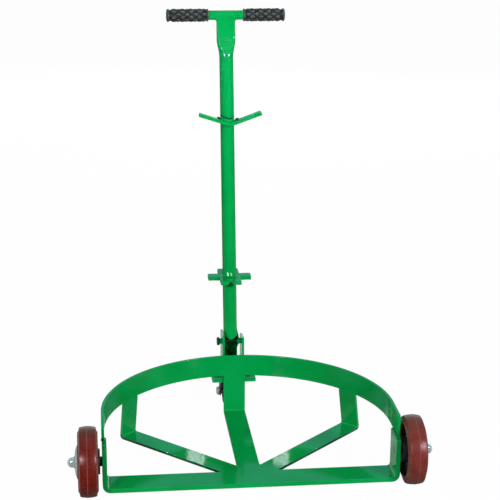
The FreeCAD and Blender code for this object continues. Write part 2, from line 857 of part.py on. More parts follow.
def make_handle_tube():
    """Handle shaft: open-fronted foot on the pivot, round tube, and flattened top under the grip bar."""
    shaft = handle_shaft(0).cut(handle_shaft(handle_tube_wall))
    grip_bar_room = rod(
        grip_bar_radius + seat_clearance,
        (-flat_width, 0, grip_bar_height), (flat_width, 0, grip_bar_height),
    )
    beyond = box(
        (-flat_width, -flat_width, grip_bar_height), (flat_width, flat_width, grip_bar_height + flat_width),
    )
    pivot_hole = rod(
        pivot_bolt_radius + running_clearance,
        (-2 * handle_tube_radius, handle_tube_offset, 0), (2 * handle_tube_radius, handle_tube_offset, 0),
    )
    grip_bar_room.rotate(Vector(0, 0, 0), Vector(0, 0, 1), grip_bar_turn)
    shaft = shaft.cut(foot_opening()).cut(grip_bar_room).cut(beyond).cut(pivot_hole)
    return on_handle(shaft.removeSplitter())


def make_grip_bar():
    """Level tube across the top of the handle."""
    half = grip_inner_place + grip_length - grip_end_wall
    bar = tube(
        grip_bar_radius, grip_bar_radius - grip_bar_wall,
        (-half, 0, grip_bar_height), (half, 0, grip_bar_height),
    )
    return on_grip_bar(bar)


def make_grip(side):
    """Rubber grip closed at its outer end, with a raised collar at both ends."""
    inner = grip_inner_place
    outer = grip_inner_place + grip_length
    bore = grip_bar_radius + seat_clearance
    body = grip_radius - grip_collar_height
    profile = [
        (side * inner, bore),
        (side * inner, grip_radius),
        (side * (inner + grip_collar_length), grip_radius),
        (side * (inner + grip_collar_length), body),
        (side * (outer - grip_collar_length), body),
        (side * (outer - grip_collar_length), grip_radius),
        (side * outer, grip_radius),
        (side * outer, 0),
        (side * (outer - grip_end_wall + seat_clearance), 0),
        (side * (outer - grip_end_wall + seat_clearance), bore),
    ]
    return on_grip_bar(turned(profile, Vector(0, 0, grip_bar_height)))


def handle_room():
    """The leaning handle's round outside, with a seat's clearance."""
    room = rod(
        handle_tube_radius + seat_clearance, (0, 0, 0), (0, 0, grip_bar_height - flat_length - taper_length),
    )
    return on_handle(room)


def make_v_bar():
    """Flat bar bent to a shallow V, notched round the front of the handle."""
    place = handle_point(v_bar_height) + Vector(v_bar_side_shift, 0, 0)
    rise = v_bar_half_span * math.tan(math.radians(v_bar_rise_angle))
    front = place.y - v_bar_front_reach
    low = place.z - v_bar_thickness / 2
    high = place.z + v_bar_thickness / 2
    tip_shift = v_bar_thickness * math.sin(math.radians(v_bar_rise_angle))
    tip = v_bar_half_span - tip_shift
    outline = [
        (place.x, front, low),
        (place.x + v_bar_half_span, front, low + rise),
        (place.x + tip, front, high + rise),
        (place.x, front, high),
        (place.x - tip, front, high + rise),
        (place.x - v_bar_half_span, front, low + rise),
    ]
    bar = prism(outline, (0, v_bar_depth, 0))
    bar.rotate(place, Vector(0, 0, 1), v_bar_turn)
    return bar.cut(handle_room())


def make_wrench_plate():
    """Level cross-shaped plate round the handle, with a notch in its front tab for turning bungs."""
    place = handle_point(wrench_height)
    low = place.z - wrench_thickness / 2
    high = place.z + wrench_thickness / 2
    end_half = wrench_end_tab_width / 2
    side_half = wrench_side_tab_width / 2
    end_tabs = box(
        (place.x - end_half, place.y - wrench_half_span, low),
        (place.x + end_half, place.y + wrench_half_span, high),
    )
    side_tabs = box(
        (place.x - wrench_half_span, place.y - side_half, low),
        (place.x + wrench_half_span, place.y + side_half, high),
    )
    notch_centre = place.y - wrench_half_span + wrench_notch_depth - wrench_notch_radius
    notch = rod(wrench_notch_radius, (place.x, notch_centre, low - 1), (place.x, notch_centre, high + 1))
    mouth = box(
        (place.x - wrench_notch_radius, place.y - wrench_half_span - 1, low - 1),
        (place.x + wrench_notch_radius, notch_centre, high + 1),
    )
    return end_tabs.fuse(side_tabs).removeSplitter().cut(notch).cut(mouth).cut(handle_room())


def make_pivot_bolt():
    """Bolt through both ears and the handle's foot, with its head on the left."""
    collar_outer = left_ear_inner - ear_thickness - pivot_collar_length
    head_outer = collar_outer - pivot_bolt_head_height
    tail = right_ear_inner + ear_thickness + pivot_bolt_tail
    y = pivot_place.y
    z = pivot_place.z
    shank = rod(pivot_bolt_radius, (collar_outer, y, z), (tail, y, z))
    return shank.fuse(hexagon(pivot_bolt_hexagon, head_outer, collar_outer, y, z)).removeSplitter()


def make_pivot_collar():
    """Collar between the bolt's head and the left ear."""
    outer = left_ear_inner - ear_thickness
    y = pivot_place.y
    z = pivot_place.z
    bore = pivot_bolt_radius + seat_clearance
    return tube(bore + pivot_collar_wall, bore, (outer - pivot_collar_length, y, z), (outer, y, z))


def make_pivot_spacer():
    """Sleeve on the bolt that keeps the handle over to the left ear."""
    y = pivot_place.y
    z = pivot_place.z
    bore = pivot_bolt_radius + seat_clearance
    return tube(
        bore + pivot_spacer_wall, bore,
        (right_ear_inner - pivot_spacer_length, y, z), (right_ear_inner, y, z),
    )


left_side_pieces = {
    "axle": make_left_axle(),
    "axle_spacer": make_left_axle_spacer(),
    "tyre": make_left_tyre(),
    "wheel_core": make_left_wheel_core(),
    "wheel_bushes": make_left_wheel_bushes(),
    "hub_cover": make_left_hub_cover(),
    "hub_washer": make_left_hub_washer(),
    "axle_cap": make_left_axle_cap(),
}

pieces = {
    "base_bar": make_base_bar(),
    "ring_band": make_ring_band(),
    "centre_strap": make_centre_strap(),
    "caster_mount_plate": make_caster_mount_plate(),
    "left_ear": make_ear(
        left_ear_inner, left_ear_inner - ear_thickness, left_ear_front_height, left_ear_rear_height,
    ),
    "right_ear": make_ear(
        right_ear_inner, right_ear_inner + ear_thickness, right_ear_front_height, right_ear_rear_height,
    ),
    "left_diagonal_strap": make_diagonal_strap(-1, left_leg_lean),
    "right_diagonal_strap": make_diagonal_strap(1, right_leg_lean),
    "handle_stop": make_handle_stop(),
    "caster_top_plate": make_caster_top_plate(),
    "caster_race": make_caster_race(),
    "caster_kingpin": make_caster_kingpin(),
    "caster_bolts": make_caster_bolts(),
    "caster_nuts": make_caster_nuts(),
    "caster_fork": make_caster_fork(),
    "caster_axle_bolt": make_caster_axle_bolt(),
    "caster_axle_nut": make_caster_axle_nut(),
    "caster_wheel_spacers": make_caster_wheel_spacers(),
    "caster_tyre": make_caster_tyre(),
    "caster_core": make_caster_core(),
    "caster_bush": make_caster_bush(),
    "handle_tube": make_handle_tube(),
    "grip_bar": make_grip_bar(),
    "left_grip": make_grip(-1),
    "right_grip": make_grip(1),
    "v_bar": make_v_bar(),
    "wrench_plate": make_wrench_plate(),
    "pivot_bolt": make_pivot_bolt(),
    "pivot_collar": make_pivot_collar(),
    "pivot_spacer": make_pivot_spacer(),
}
for name, piece in left_side_pieces.items():
    pieces["left_" + name] = piece
    pieces["right_" + name] = mirrored(piece)

os.makedirs("parts", exist_ok=True)
for name, piece in pieces.items():
    piece.translate(Vector(0, -footprint_middle_y, 0))
    piece.exportStep("parts/" + name + ".step")
    print(name, "solids", len(piece.Solids), "valid", piece.isValid(), "volume", round(piece.Volume, 1))
print("footprint middle", footprint_middle_y, "kingpin", kingpin_y)
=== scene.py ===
"""Drum trolley: its visible pieces, finishes and stage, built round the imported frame."""
import json
import math
from contextlib import contextmanager

import bmesh
import bpy
import numpy as np
from mathutils import Matrix, Vector


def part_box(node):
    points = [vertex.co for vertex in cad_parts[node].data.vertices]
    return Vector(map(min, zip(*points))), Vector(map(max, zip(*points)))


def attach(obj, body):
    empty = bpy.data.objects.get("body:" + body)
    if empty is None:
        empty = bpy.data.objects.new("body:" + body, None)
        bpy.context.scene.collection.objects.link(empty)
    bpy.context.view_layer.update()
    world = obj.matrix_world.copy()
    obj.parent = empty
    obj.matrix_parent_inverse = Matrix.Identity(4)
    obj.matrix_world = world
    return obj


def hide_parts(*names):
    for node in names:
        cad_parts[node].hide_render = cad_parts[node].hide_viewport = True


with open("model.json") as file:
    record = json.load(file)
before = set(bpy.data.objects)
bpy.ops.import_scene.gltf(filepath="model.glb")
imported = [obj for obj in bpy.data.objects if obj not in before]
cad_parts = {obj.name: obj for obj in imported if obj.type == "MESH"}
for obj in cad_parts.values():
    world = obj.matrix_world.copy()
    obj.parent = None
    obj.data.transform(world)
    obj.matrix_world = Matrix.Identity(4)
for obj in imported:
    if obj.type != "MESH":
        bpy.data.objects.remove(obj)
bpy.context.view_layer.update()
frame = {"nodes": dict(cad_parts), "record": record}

bl_info = {
    "name": "Drum Trolley",
    "version": (1, 0, 0),
    "blender": (4, 5, 0),
    "location": "View3D > Sidebar > Trolley",
    "description": "Builds a drum trolley's visible pieces round its packed frame",
    "category": "Object",
}

mm = 0.001
merge_distance = 1e-4

# Shapes are in millimetres: the deck's from the ring's centre on the floor, the handle's from its foot.
bar_reach = 93.0
deck_frame = Matrix.Translation((0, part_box("base_bar")[0].y + bar_reach * mm, 0)) @ Matrix.Scale(mm, 4)
handle_lean = math.radians(10)
handle_foot = Vector((-6, 350.091, 179.542))
handle_frame = deck_frame @ Matrix.Translation(handle_foot) @ Matrix.Rotation(-handle_lean, 4, "X")
grip_bar_height = 760.0
grip_bar_turn = math.radians(3)
grip_bar_frame = (
    handle_frame @ Matrix.Translation((0, 0, grip_bar_height)) @ Matrix.Rotation(grip_bar_turn, 4, "Z")
)
bar_top = 21.0
bar_thickness = 10.0
bar_rear = -28.0
bar_outside = 316.0
bar_width = 65.0
bar_bend = 12.0
ring_radius = 313.0
ring_low = 108.0
ring_high = 158.0
ring_left_end = -32.0
ring_right_end = -79.0
strip_thickness = 6.0
strip_bend = 6.0
middle_strap_width = 50.0
side_strap_width = 46.0
strap_leg = 312.0
strap_meeting = Vector((0, -57.5))
strap_reach = 351.0
wheel_axle = Vector((345.45, -70, 75))
boss_inner = 320.3
boss_outer = 367.7
cover_outer = 372.7
washer_inner = 373.0
washer_outer = 374.5
spacer_outer = 320.0
seam_place = 1.7
# painted light: how much paler the whole right tyre is, for the stronger lamp on that side
right_tyre_painted_light = 0.28
pivot_place = Vector((0, 356, 178.5))
kingpin = 379.974
caster_axle = Vector((0, kingpin + 24.996, 34))
tube_radius = 16.0
tube_wall = 2.5
grip_bar_radius = 10.75


def length(name, description, default):
    """A size that a user may change, in metres."""
    return bpy.props.FloatProperty(
        name=name, description=description, default=default, min=0, unit="LENGTH", precision=5,
    )


def colour(name, description, default):
    """A colour that a user may change."""
    return bpy.props.FloatVectorProperty(
        name=name, description=description, default=default, size=3, min=0, max=1, subtype="COLOR",
    )


def lamp_power(name, description, default):
    """A lamp's power that a user may change."""
    return bpy.props.FloatProperty(name=name, description=description, default=default, min=0, unit="POWER")


def brightness(name, description, default, most=1):
    """A brightness that a user may change."""
    return bpy.props.FloatProperty(
        name=name, description=description, default=default, min=0, max=most, subtype="FACTOR",
    )


class TrolleySizes(bpy.types.PropertyGroup):
    """Small sizes of the visible pieces."""
    bar_edge: length("Bar edge", "Rounding of the rolled bars' long edges", 0.0012)
    strap_edge: length("Strap edge", "Rounding of the straps' long edges", 0.0009)
    plate_edge: length("Plate edge", "Rounding of cut plates' edges", 0.0006)
    weld_radius: length("Weld radius", "Radius of an ordinary weld bead", 0.0032)
    weld_pitch: length("Weld pitch", "Distance between the ripples of a weld bead", 0.0026)
    bar_fillet: length("Bar fillet", "Radius of the smooth weld under the grip bar", 0.005)
    broad_fillet: length("Broad fillet", "Radius of the same weld at the front and back", 0.022)
    foot_flare: length("Foot flare", "How far the foot's weld swells towards the spacer", 0.0045)
    seam_height: length("Tyre seam", "Height of the moulding line round a tyre", 0.0004)
    knob_pitch: length("Knob pitch", "Distance between knobs along a grip", 0.0196)
    knob_height: length("Knob height", "Height of a grip's knobs", 0.0023)
    knob_rows: bpy.props.IntProperty(
        name="Knob rows", description="Rows of knobs round a grip", default=12, min=4, max=24,
    )


class TrolleyFinish(bpy.types.PropertyGroup):
    """Colours of the finishes."""
    green: colour("Green", "Powder coat", (0.001, 0.375, 0.077))
    green_shade: colour("Green shade", "Powder coat where it is thinner", (0.0, 0.335, 0.058))
    tyre: colour("Tyre", "Maroon tyre", (0.148, 0.006, 0.002))
    # tyre_pale also colours painted light: the tyres' pale shoulders and the paler right tyre
    tyre_pale: colour("Tyre scuffs", "Scuffs on the maroon tyre", (0.33, 0.085, 0.070))
    core: colour("Wheel core", "Moulded black core", (0.011, 0.011, 0.012))
    grip: colour("Grip", "Black rubber grip", (0.010, 0.010, 0.010))
    # the knobs' pale tops are partly rubbed and partly a painted highlight
    grip_rubbed_and_highlight: colour("Rubbed grip", "Tops of the grip's knobs", (0.080, 0.074, 0.066))
    zinc: colour("Zinc", "Zinc plating", (0.62, 0.62, 0.60))
    chrome: colour("Chrome", "Bright cap", (0.80, 0.81, 0.82))
    steel: colour("Steel", "Turned steel", (0.40, 0.40, 0.41))
    bronze: colour("Bronze", "Sintered bushes", (0.40, 0.25, 0.11))
    black_paint: colour("Black paint", "Satin black paint", (0.012, 0.012, 0.013))
    grey_tyre: colour("Grey tyre", "Caster's grey tread", (0.30, 0.31, 0.31))


class TrolleyStage(bpy.types.PropertyGroup):
    """Light and floor."""
    right_power: lamp_power("Right lamp", "Power of the soft box at the front right", 127)
    left_power: lamp_power("Left lamp", "Power of the soft box at the front left", 100)
    handle_power: lamp_power("Handle lamp", "Power of the small lamp at the handle's top", 0.9)
    rear_power: lamp_power("Rear lamp", "Power of the soft fill light behind", 70)
    room_level: brightness("Room light", "Soft light from all round", 0.16, 2)
    backdrop_level: brightness("Backdrop", "Brightness of the backdrop in shiny surfaces", 0.6)
    low_level: brightness("Low backdrop", "Extra brightness low on the backdrop", 0.56)
    dark_level: brightness("Dark side", "Brightness of the room's front in shiny surfaces", 0.06)
    floor: colour("Floor", "Pale floor", (0.62, 0.62, 0.62))


def sizes():
    """The trolley's sizes."""
    return bpy.context.scene.trolley_sizes


def tones():
    """The trolley's colours."""
    return bpy.context.scene.trolley_finish


def put(tree, kind, inputs=None, **settings):
    """Adds a node with its settings, and gives each named input a value or a link."""
    node = tree.nodes.new(kind)
    for name, value in settings.items():
        setattr(node, name, value)
    for key, value in (inputs or {}).items():
        socket = node.inputs[key]
        if isinstance(value, bpy.types.NodeSocket):
            tree.links.new(value, socket)
        elif isinstance(value, (tuple, list)) and socket.type == "RGBA" and len(value) == 3:
            socket.default_value = (*value, 1)
        else:
            socket.default_value = value
    return node


def out(tree, kind, inputs=None, **settings):
    """The first output of a node that it adds."""
    return put(tree, kind, inputs, **settings).outputs[0]


def maths(tree, operation, *values):
    """The result of a sum on values or sockets."""
    return out(tree, "ShaderNodeMath", dict(enumerate(values)), operation=operation)


def times(tree, first, second):
    """Two values multiplied."""
    return maths(tree, "MULTIPLY", first, second)


def plus(tree, first, second):
    """Two values added."""
    return maths(tree, "ADD", first, second)


def minus(tree, first, second):
    """One value less another."""
    return maths(tree, "SUBTRACT", first, second)


def between(tree, value, low, high, start=0.0, end=1.0):
    """A value's place between two limits, spread smoothly over a new range."""
    inputs = {"Value": value, "From Min": low, "From Max": high, "To Min": start, "To Max": end}
    return out(tree, "ShaderNodeMapRange", inputs, interpolation_type="SMOOTHSTEP")


def band(tree, value, low, full_low, full_high, high):
    """1 where a value is inside a band, fading to 0 at the band's limits."""
    return times(tree, between(tree, value, low, full_low), between(tree, value, high, full_high))


def mixed(tree, amount, first, second):
    """Two colours mixed."""
    return put(tree, "ShaderNodeMix", {0: amount, 6: first, 7: second}, data_type="RGBA").outputs[2]


def noise(tree, place, scale, detail=2.0):
    """Soft random value from 0 to 1."""
    inputs = {"Vector": place, "Scale": scale, "Detail": detail}
    return put(tree, "ShaderNodeTexNoise", inputs).outputs["Fac"]


def made_once(kind, inputs, outputs):
    """Turns a function that fills a node group into one that gives the group, filled the first time."""
    def wrap(fill):
        def group():
            name = fill.__name__
            if name in bpy.data.node_groups:
                return bpy.data.node_groups[name]
            tree = bpy.data.node_groups.new(name, kind)
            for way, sockets in (("INPUT", inputs), ("OUTPUT", outputs)):
                for label, socket in sockets.items():
                    tree.interface.new_socket(label, in_out=way, socket_type="NodeSocket" + socket)
            given = tree.nodes.new("NodeGroupInput").outputs
            result = tree.nodes.new("NodeGroupOutput").inputs
            for socket, value in zip(result, fill(tree, given)):
                tree.links.new(value, socket)
            return tree
        return group
    return wrap


def skin_group(**inputs):
    """For a function that gives a skin's colour, roughness and height."""
    outputs = {"Colour": "Color", "Roughness": "Float", "Height": "Float"}
    return made_once("ShaderNodeTree", {"Vector": "Vector", **inputs}, outputs)


def shape_group(**inputs):
    """For a function that gives a shape made from a mesh or curve, with a material."""
    inputs = {"Geometry": "Geometry", **inputs, "Material": "Material"}
    return made_once("GeometryNodeTree", inputs, {"Geometry": "Geometry"})


@skin_group(Colour="Color", Shade="Color", Edge="Float", Gloss="Float")
def paint_skin(tree, given):
    """Powder coat: slow change of tone, orange peel, dust nibs and thinner paint on edges."""
    place = given["Vector"]
    cloud = between(tree, noise(tree, place, 13, 3), 0.32, 0.68)
    tone = mixed(tree, cloud, given["Shade"], given["Colour"])
    pale_share = times(tree, given["Edge"], between(tree, noise(tree, place, 90), 0.35, 0.75, 0.1, 0.55))
    pale = mixed(tree, 0.05, given["Colour"], (0.4, 1.0, 0.6))
    nib = between(tree, noise(tree, place, 1400, 0), 0.72, 0.80)
    haze = between(tree, noise(tree, place, 45, 3), 0.3, 0.7, 0.0, 0.04)
    rough = plus(tree, plus(tree, given["Gloss"], haze), times(tree, pale_share, 0.12))
    peel = noise(tree, place, 330, 1)
    return mixed(tree, pale_share, tone, pale), rough, plus(tree, peel, times(tree, nib, 0.8))


@skin_group(Colour="Color", Pale="Color", Scuffs="Float", Gloss="Float", Grain="Float")
def moulded_skin(tree, given):
    """Moulded rubber or plastic: fine grain, mottling, pale flecks and drawn-out scuffs."""
    place = given["Vector"]
    mottle = between(tree, noise(tree, place, 55, 3), 0.3, 0.7, 0.0, 0.10)
    tone = mixed(tree, mottle, given["Colour"], given["Pale"])
    cells = put(tree, "ShaderNodeTexVoronoi", {"Vector": place, "Scale": 210}).outputs
    chance = out(tree, "ShaderNodeSeparateColor", {0: cells["Color"]})
    rare = between(tree, chance, 0.90, 0.96)
    fleck = times(tree, between(tree, cells["Distance"], 0.30, 0.16), rare)
    drawn = out(tree, "ShaderNodeMapping", {"Vector": place, "Scale": (60, 340, 90)})
    scuff = between(tree, noise(tree, drawn, 1, 2), 0.66, 0.80, 0.0, 0.6)
    marks = times(tree, maths(tree, "MAXIMUM", fleck, scuff), given["Scuffs"])
    dull = between(tree, noise(tree, place, 120, 3), 0.3, 0.7, 0.0, 0.12)
    rough = plus(tree, plus(tree, given["Gloss"], dull), times(tree, marks, 0.15))
    grain = noise(tree, place, given["Grain"], 2)
    return mixed(tree, marks, tone, given["Pale"]), rough, minus(tree, grain, times(tree, marks, 0.3))


@skin_group(Colour="Color", Stain="Color", Tarnish="Float", Gloss="Float")
def plated_skin(tree, given):
    """Plated or bare metal: fine turning lines, stains and a little tarnish."""
    place = given["Vector"]
    cloud = between(tree, noise(tree, place, 160, 3), 0.42, 0.72)
    stain = times(tree, cloud, given["Tarnish"])
    tone = mixed(tree, stain, given["Colour"], given["Stain"])
    lines = out(tree, "ShaderNodeMapping", {"Vector": place, "Scale": (2600, 300, 300)})
    brush = noise(tree, lines, 1, 1)
    rough = plus(tree, given["Gloss"], times(tree, stain, 0.25))
    return tone, plus(tree, rough, times(tree, brush, 0.06)), brush


def new_finish(name, skin, inputs, bump, depth, constants):
    """A material whose skin group drives its colour, roughness and bump. Returns it and its group node."""
    material = bpy.data.materials.new(name + "_finish")
    material.use_nodes = True
    tree = material.node_tree
    shader = tree.nodes["Principled BSDF"].inputs
    place = put(tree, "ShaderNodeTexCoord").outputs["Object"]
    group = put(tree, "ShaderNodeGroup", node_tree=skin)
    tree.links.new(place, group.inputs["Vector"])
    for key, value in inputs.items():
        group.inputs[key].default_value = (*value, 1) if group.inputs[key].type == "RGBA" else value
    tree.links.new(group.outputs["Colour"], shader["Base Color"])
    tree.links.new(group.outputs["Roughness"], shader["Roughness"])
    height = group.outputs["Height"]
    relief = put(tree, "ShaderNodeBump", {"Strength": bump, "Distance": depth, "Height": height})
    tree.links.new(relief.outputs[0], shader["Normal"])
    for key, value in constants.items():
        shader[key].default_value = value
    return material, group


def marked(material, attribute, tone):
    """A finish whose colour turns to another tone where a face attribute says so."""
    tree = material.node_tree
    base = tree.nodes["Principled BSDF"].inputs["Base Color"]
    place = put(tree, "ShaderNodeTexCoord").outputs["Object"]
    amount = put(tree, "ShaderNodeAttribute", attribute_name=attribute).outputs["Fac"]
    patchy = times(tree, amount, between(tree, noise(tree, place, 40), 0.25, 0.6, 0.6, 1.0))
    tree.links.new(mixed(tree, patchy, base.links[0].from_socket, tuple(tone)), base)
    return material


def green_finish():
    """Green powder coat: thinner on edges, dark on sheared sides, painted shade by the V bar, almost black
    painted shade in the foot.
    """
    tone = tones()
    inputs = {"Colour": tone.green, "Shade": tone.green_shade, "Gloss": 0.07}
    material, group = new_finish("green_paint", paint_skin(), inputs, 0.06, 0.0005, {"IOR": 1.5})
    tree = material.node_tree
    edge = put(tree, "ShaderNodeAttribute", attribute_name="edge").outputs["Fac"]
    tree.links.new(edge, group.inputs["Edge"])
    # painted shade: almost black inside the open foot
    marked(material, "inside", (0.0, 0.035, 0.012))
    # dark on the straps' sheared sides, and painted shade on the dark beads round the V bar
    return marked(material, "dark_sides_and_painted_shade", (0.0, 0.04, 0.013))


def moulded_finish(name, tone, pale, scuffs, gloss, grain, bump, ior, sheen=(1, 1, 1)):
    """A rubber or plastic finish, with the tint that its gloss has."""
    inputs = {"Colour": tone, "Pale": pale, "Scuffs": scuffs, "Gloss": gloss, "Grain": grain}
    constants = {"IOR": ior, "Specular Tint": (*sheen, 1)}
    return new_finish(name, moulded_skin(), inputs, bump, 0.0004, constants)[0]


def metal_finish(name, tone, stain, tarnish, gloss, metallic):
    """A plated or bare metal finish, the less metallic the more milky its plating is."""
    inputs = {"Colour": tone, "Stain": stain, "Tarnish": tarnish, "Gloss": gloss}
    return new_finish(name, plated_skin(), inputs, 0.05, 0.0002, {"Metallic": metallic})[0]


def finish(name):
    """The named finish, made the first time it is asked for."""
    if name + "_finish" in bpy.data.materials:
        return bpy.data.materials[name + "_finish"]
    if name == "green_paint":
        return green_finish()
    tone = tones()
    moulded = {
        "red_tyre": (tone.tyre, tone.tyre_pale, 0.6, 0.25, 900, 0.12, 1.5, (1, 0.72, 0.68)),
        "black_core": (tone.core, (0.09, 0.09, 0.09), 0.35, 0.38, 700, 0.12, 1.4),
        "black_rubber": (tone.grip, (0.10, 0.095, 0.085), 0.25, 0.40, 1100, 0.15, 1.45),
        "grey_tyre": (tone.grey_tyre, (0.45, 0.45, 0.44), 0.4, 0.42, 900, 0.12, 1.45),
        "black_paint": (tone.black_paint, (0.06, 0.06, 0.06), 0.15, 0.26, 420, 0.10, 1.45),
    }
    metals = {
        "zinc": (tone.zinc, (0.42, 0.40, 0.33), 0.4, 0.30, 0.2),
        "chrome": (tone.chrome, (0.6, 0.6, 0.6), 0.1, 0.05, 0.45),
        "steel": (tone.steel, (0.25, 0.22, 0.18), 0.5, 0.30, 1.0),
        "bronze": (tone.bronze, (0.25, 0.15, 0.07), 0.6, 0.42, 1.0),
    }
    # the tyre's mark is partly painted light, and the grip's mark is partly a painted highlight
    marks = {
        "red_tyre": ("scuffs_and_painted_light", tone.tyre_pale), "black_rubber": ("rubbed_and_painted_highlight", tone.grip_rubbed_and_highlight),
        "black_paint": ("overspray", (0.0, 0.07, 0.022)),
    }
    if name in metals:
        return metal_finish(name, *metals[name])
    material = moulded_finish(name, *moulded[name])
    return marked(material, *marks[name]) if name in marks else material


@contextmanager
def edited(mesh):
    """A mesh open for editing, written back at the end."""
    work = bmesh.new()
    work.from_mesh(mesh)
    yield work
    work.to_mesh(mesh)
    work.free()


def cleaned(mesh):
    """A mesh with its doubles merged and its faces pointing outwards."""
    with edited(mesh) as work:
        bmesh.ops.remove_doubles(work, verts=work.verts, dist=merge_distance)
        bmesh.ops.recalc_face_normals(work, faces=work.faces)
    return mesh


def mesh_from(points, faces):
    """A closed mesh from its points and faces."""
    mesh = bpy.data.meshes.new("draft")
    mesh.from_pydata([tuple(point) for point in points], [], faces)
    return cleaned(mesh)


def numbered(count, size):
    """The point numbers of a count of rings of one size."""
    return [list(range(first, first + size)) for first in range(0, count * size, size)]


def strips(rings):
    """Faces between each ring of point numbers and the next, with no corner twice."""
    faces = []
    for first, second in zip(rings, rings[1:]):
        for index in range(len(first)):
            ahead = (index + 1) % len(first)
            corners = [first[index], first[ahead], second[ahead], second[index]]
            corners = list(dict.fromkeys(corners))
            if len(corners) > 2:
                faces.append(corners)
    return faces


def arc(start, end, steps):
    """Points round the origin from one point to another."""
    sweep = start.angle(end)
    points = []
    for step in range(steps + 1):
        first = math.sin((1 - step / steps) * sweep) / math.sin(sweep)
        second = math.sin(step / steps * sweep) / math.sin(sweep)
        points.append(start * first + end * second)
    return points


def mark(mesh, name, amounts):
    """Gives each face an amount under a name that a finish reads."""
    mesh.attributes.new(name, "FLOAT", "FACE").data.foreach_set("value", amounts)


def joined(meshes):
    """Several meshes as one."""
    work = bmesh.new()
    for mesh in meshes:
        work.from_mesh(mesh)
    mesh = bpy.data.meshes.new("draft")
    work.to_mesh(mesh)
    work.free()
    return mesh


def moved(mesh, matrix):
    """A mesh placed by a matrix, its faces still pointing outwards."""
    mesh.transform(matrix)
    if matrix.determinant() < 0:
        mesh.flip_normals()
    return mesh


def fetched(items, name, width=1, kind=float):
    """One property of many items as an array."""
    values = np.empty(len(items) * width, dtype=kind)
    items.foreach_get(name, values)
    return values.reshape(-1, width) if width > 1 else values


def shade(mesh, narrow):
    """Keeps broad faces flat, turns the light over narrow ones, and marks the narrow ones as edges."""
    broad_limit, narrow_limit, same_side = 35, 68, 0.2
    count = len(mesh.polygons)
    normals = fetched(mesh.polygons, "normal", 3)
    areas = fetched(mesh.polygons, "area")
    starts = fetched(mesh.polygons, "loop_start", 1, int)
    totals = fetched(mesh.polygons, "loop_total", 1, int)
    corners = fetched(mesh.loops, "vertex_index", 1, int)
    points = fetched(mesh.vertices, "co", 3)
    following = np.roll(corners, -1)
    following[starts + totals - 1] = corners[starts]
    spans = np.linalg.norm(points[following] - points[corners], axis=1)
    longest = np.maximum.reduceat(spans, starts)
    thin = areas / np.maximum(longest, 1e-9) < narrow
    owner = np.repeat(np.arange(count), totals)
    by_point = [[] for _ in range(len(mesh.vertices))]
    for corner, point in enumerate(corners):
        by_point[point].append(corner)
    cosine = math.cos(math.radians(broad_limit))
    wide_cosine = math.cos(math.radians(narrow_limit))
    turned = np.empty((len(corners), 3))
    for group in by_point:
        faces = owner[group]
        facing = normals[faces] @ normals[faces].T
        slim = thin[faces]
        weight = areas[faces] if slim.all() or not slim.any() else np.where(slim, 0, areas[faces])
        near = np.where(slim[:, None], facing > wide_cosine, facing > cosine) * weight[None, :]
        empty = near.sum(axis=1) <= 0
        near[empty] = areas[faces] * (facing[empty] > same_side)
        turned[group] = near @ normals[faces]
    turned /= np.maximum(np.linalg.norm(turned, axis=1, keepdims=True), 1e-12)
    mesh.polygons.foreach_set("use_smooth", np.ones(count, dtype=bool))
    mark(mesh, "edge", thin.astype(np.float32))
    mesh.normals_split_custom_set([tuple(normal) for normal in turned])
    return mesh


def placed(name, data):
    """A new object in the scene."""
    made = bpy.data.objects.new(name, data)
    bpy.context.scene.collection.objects.link(made)
    return made


def piece(name, mesh, body, slot, nodes=(), narrow=0.0):
    """Makes a finished mesh a named piece that rides on a body and stands for CAD nodes."""
    mesh.name = name
    mesh.materials.clear()
    mesh.materials.append(finish(slot))
    mesh.polygons.foreach_set("material_index", np.zeros(len(mesh.polygons), dtype=np.int32))
    shade(mesh, narrow * mm)
    made = placed(name, mesh)
    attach(made, body)
    if nodes:
        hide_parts(*nodes)
    return made


def stand_in(node, mesh, body, slot, narrow=0.0):
    """A piece that stands for one CAD node."""
    return piece(node + "_shaped", mesh, body, slot, [node], narrow)


def grown(tree, data, **inputs):
    """The plain mesh that a node tree makes from a mesh or curve."""
    holder = placed("draft", data)
    modifier = holder.modifiers.new("grow", "NODES")
    modifier.node_group = tree
    labels = {item.name: item.identifier for item in tree.interface.items_tree if item.in_out == "INPUT"}
    for label, value in inputs.items():
        modifier[labels[label.replace("_", " ")]] = value
    evaluated = holder.evaluated_get(bpy.context.evaluated_depsgraph_get())
    mesh = bpy.data.meshes.new_from_object(evaluated)
    holder.modifiers.remove(modifier)
    bpy.data.objects.remove(holder)
    if not mesh.polygons:
        raise RuntimeError("the tree " + tree.name + " made no faces")
    return mesh


def line_through(points):
    """A curve of straight runs through points."""
    data = bpy.data.curves.new("draft", "CURVE")
    data.dimensions = "3D"
    run = data.splines.new("POLY")
    run.points.add(len(points) - 1)
    for spot, point in zip(run.points, points):
        spot.co = (*point, 1)
    return data


def ended(tree, given, shape):
    """What a tree puts out: its shape made real, with its material."""
    real = out(tree, "GeometryNodeRealizeInstances", {0: shape})
    inputs = {"Geometry": real, "Material": given["Material"]}
    return [out(tree, "GeometryNodeSetMaterial", inputs)]


@shape_group(Width="Float", Thickness="Float", Edge="Float", Across="Vector")
def bar_sweep(tree, given):
    """Flat bar with rounded edges along a path. Across is the direction of the bar's width."""
    inputs = {"Curve": given["Geometry"], "Normal": given["Across"]}
    steady = out(tree, "GeometryNodeSetCurveNormal", inputs, mode="FREE")
    inputs = {"Width": given["Width"], "Height": given["Thickness"]}
    section = out(tree, "GeometryNodeCurvePrimitiveQuadrilateral", inputs)
    eased = put(tree, "GeometryNodeFilletCurve", {"Curve": section, "Radius": given["Edge"]}, mode="POLY")
    eased.inputs["Count"].default_value = 3
    inputs = {"Curve": steady, "Profile Curve": eased.outputs[0], "Fill Caps": True}
    return ended(tree, given, out(tree, "GeometryNodeCurveToMesh", inputs))


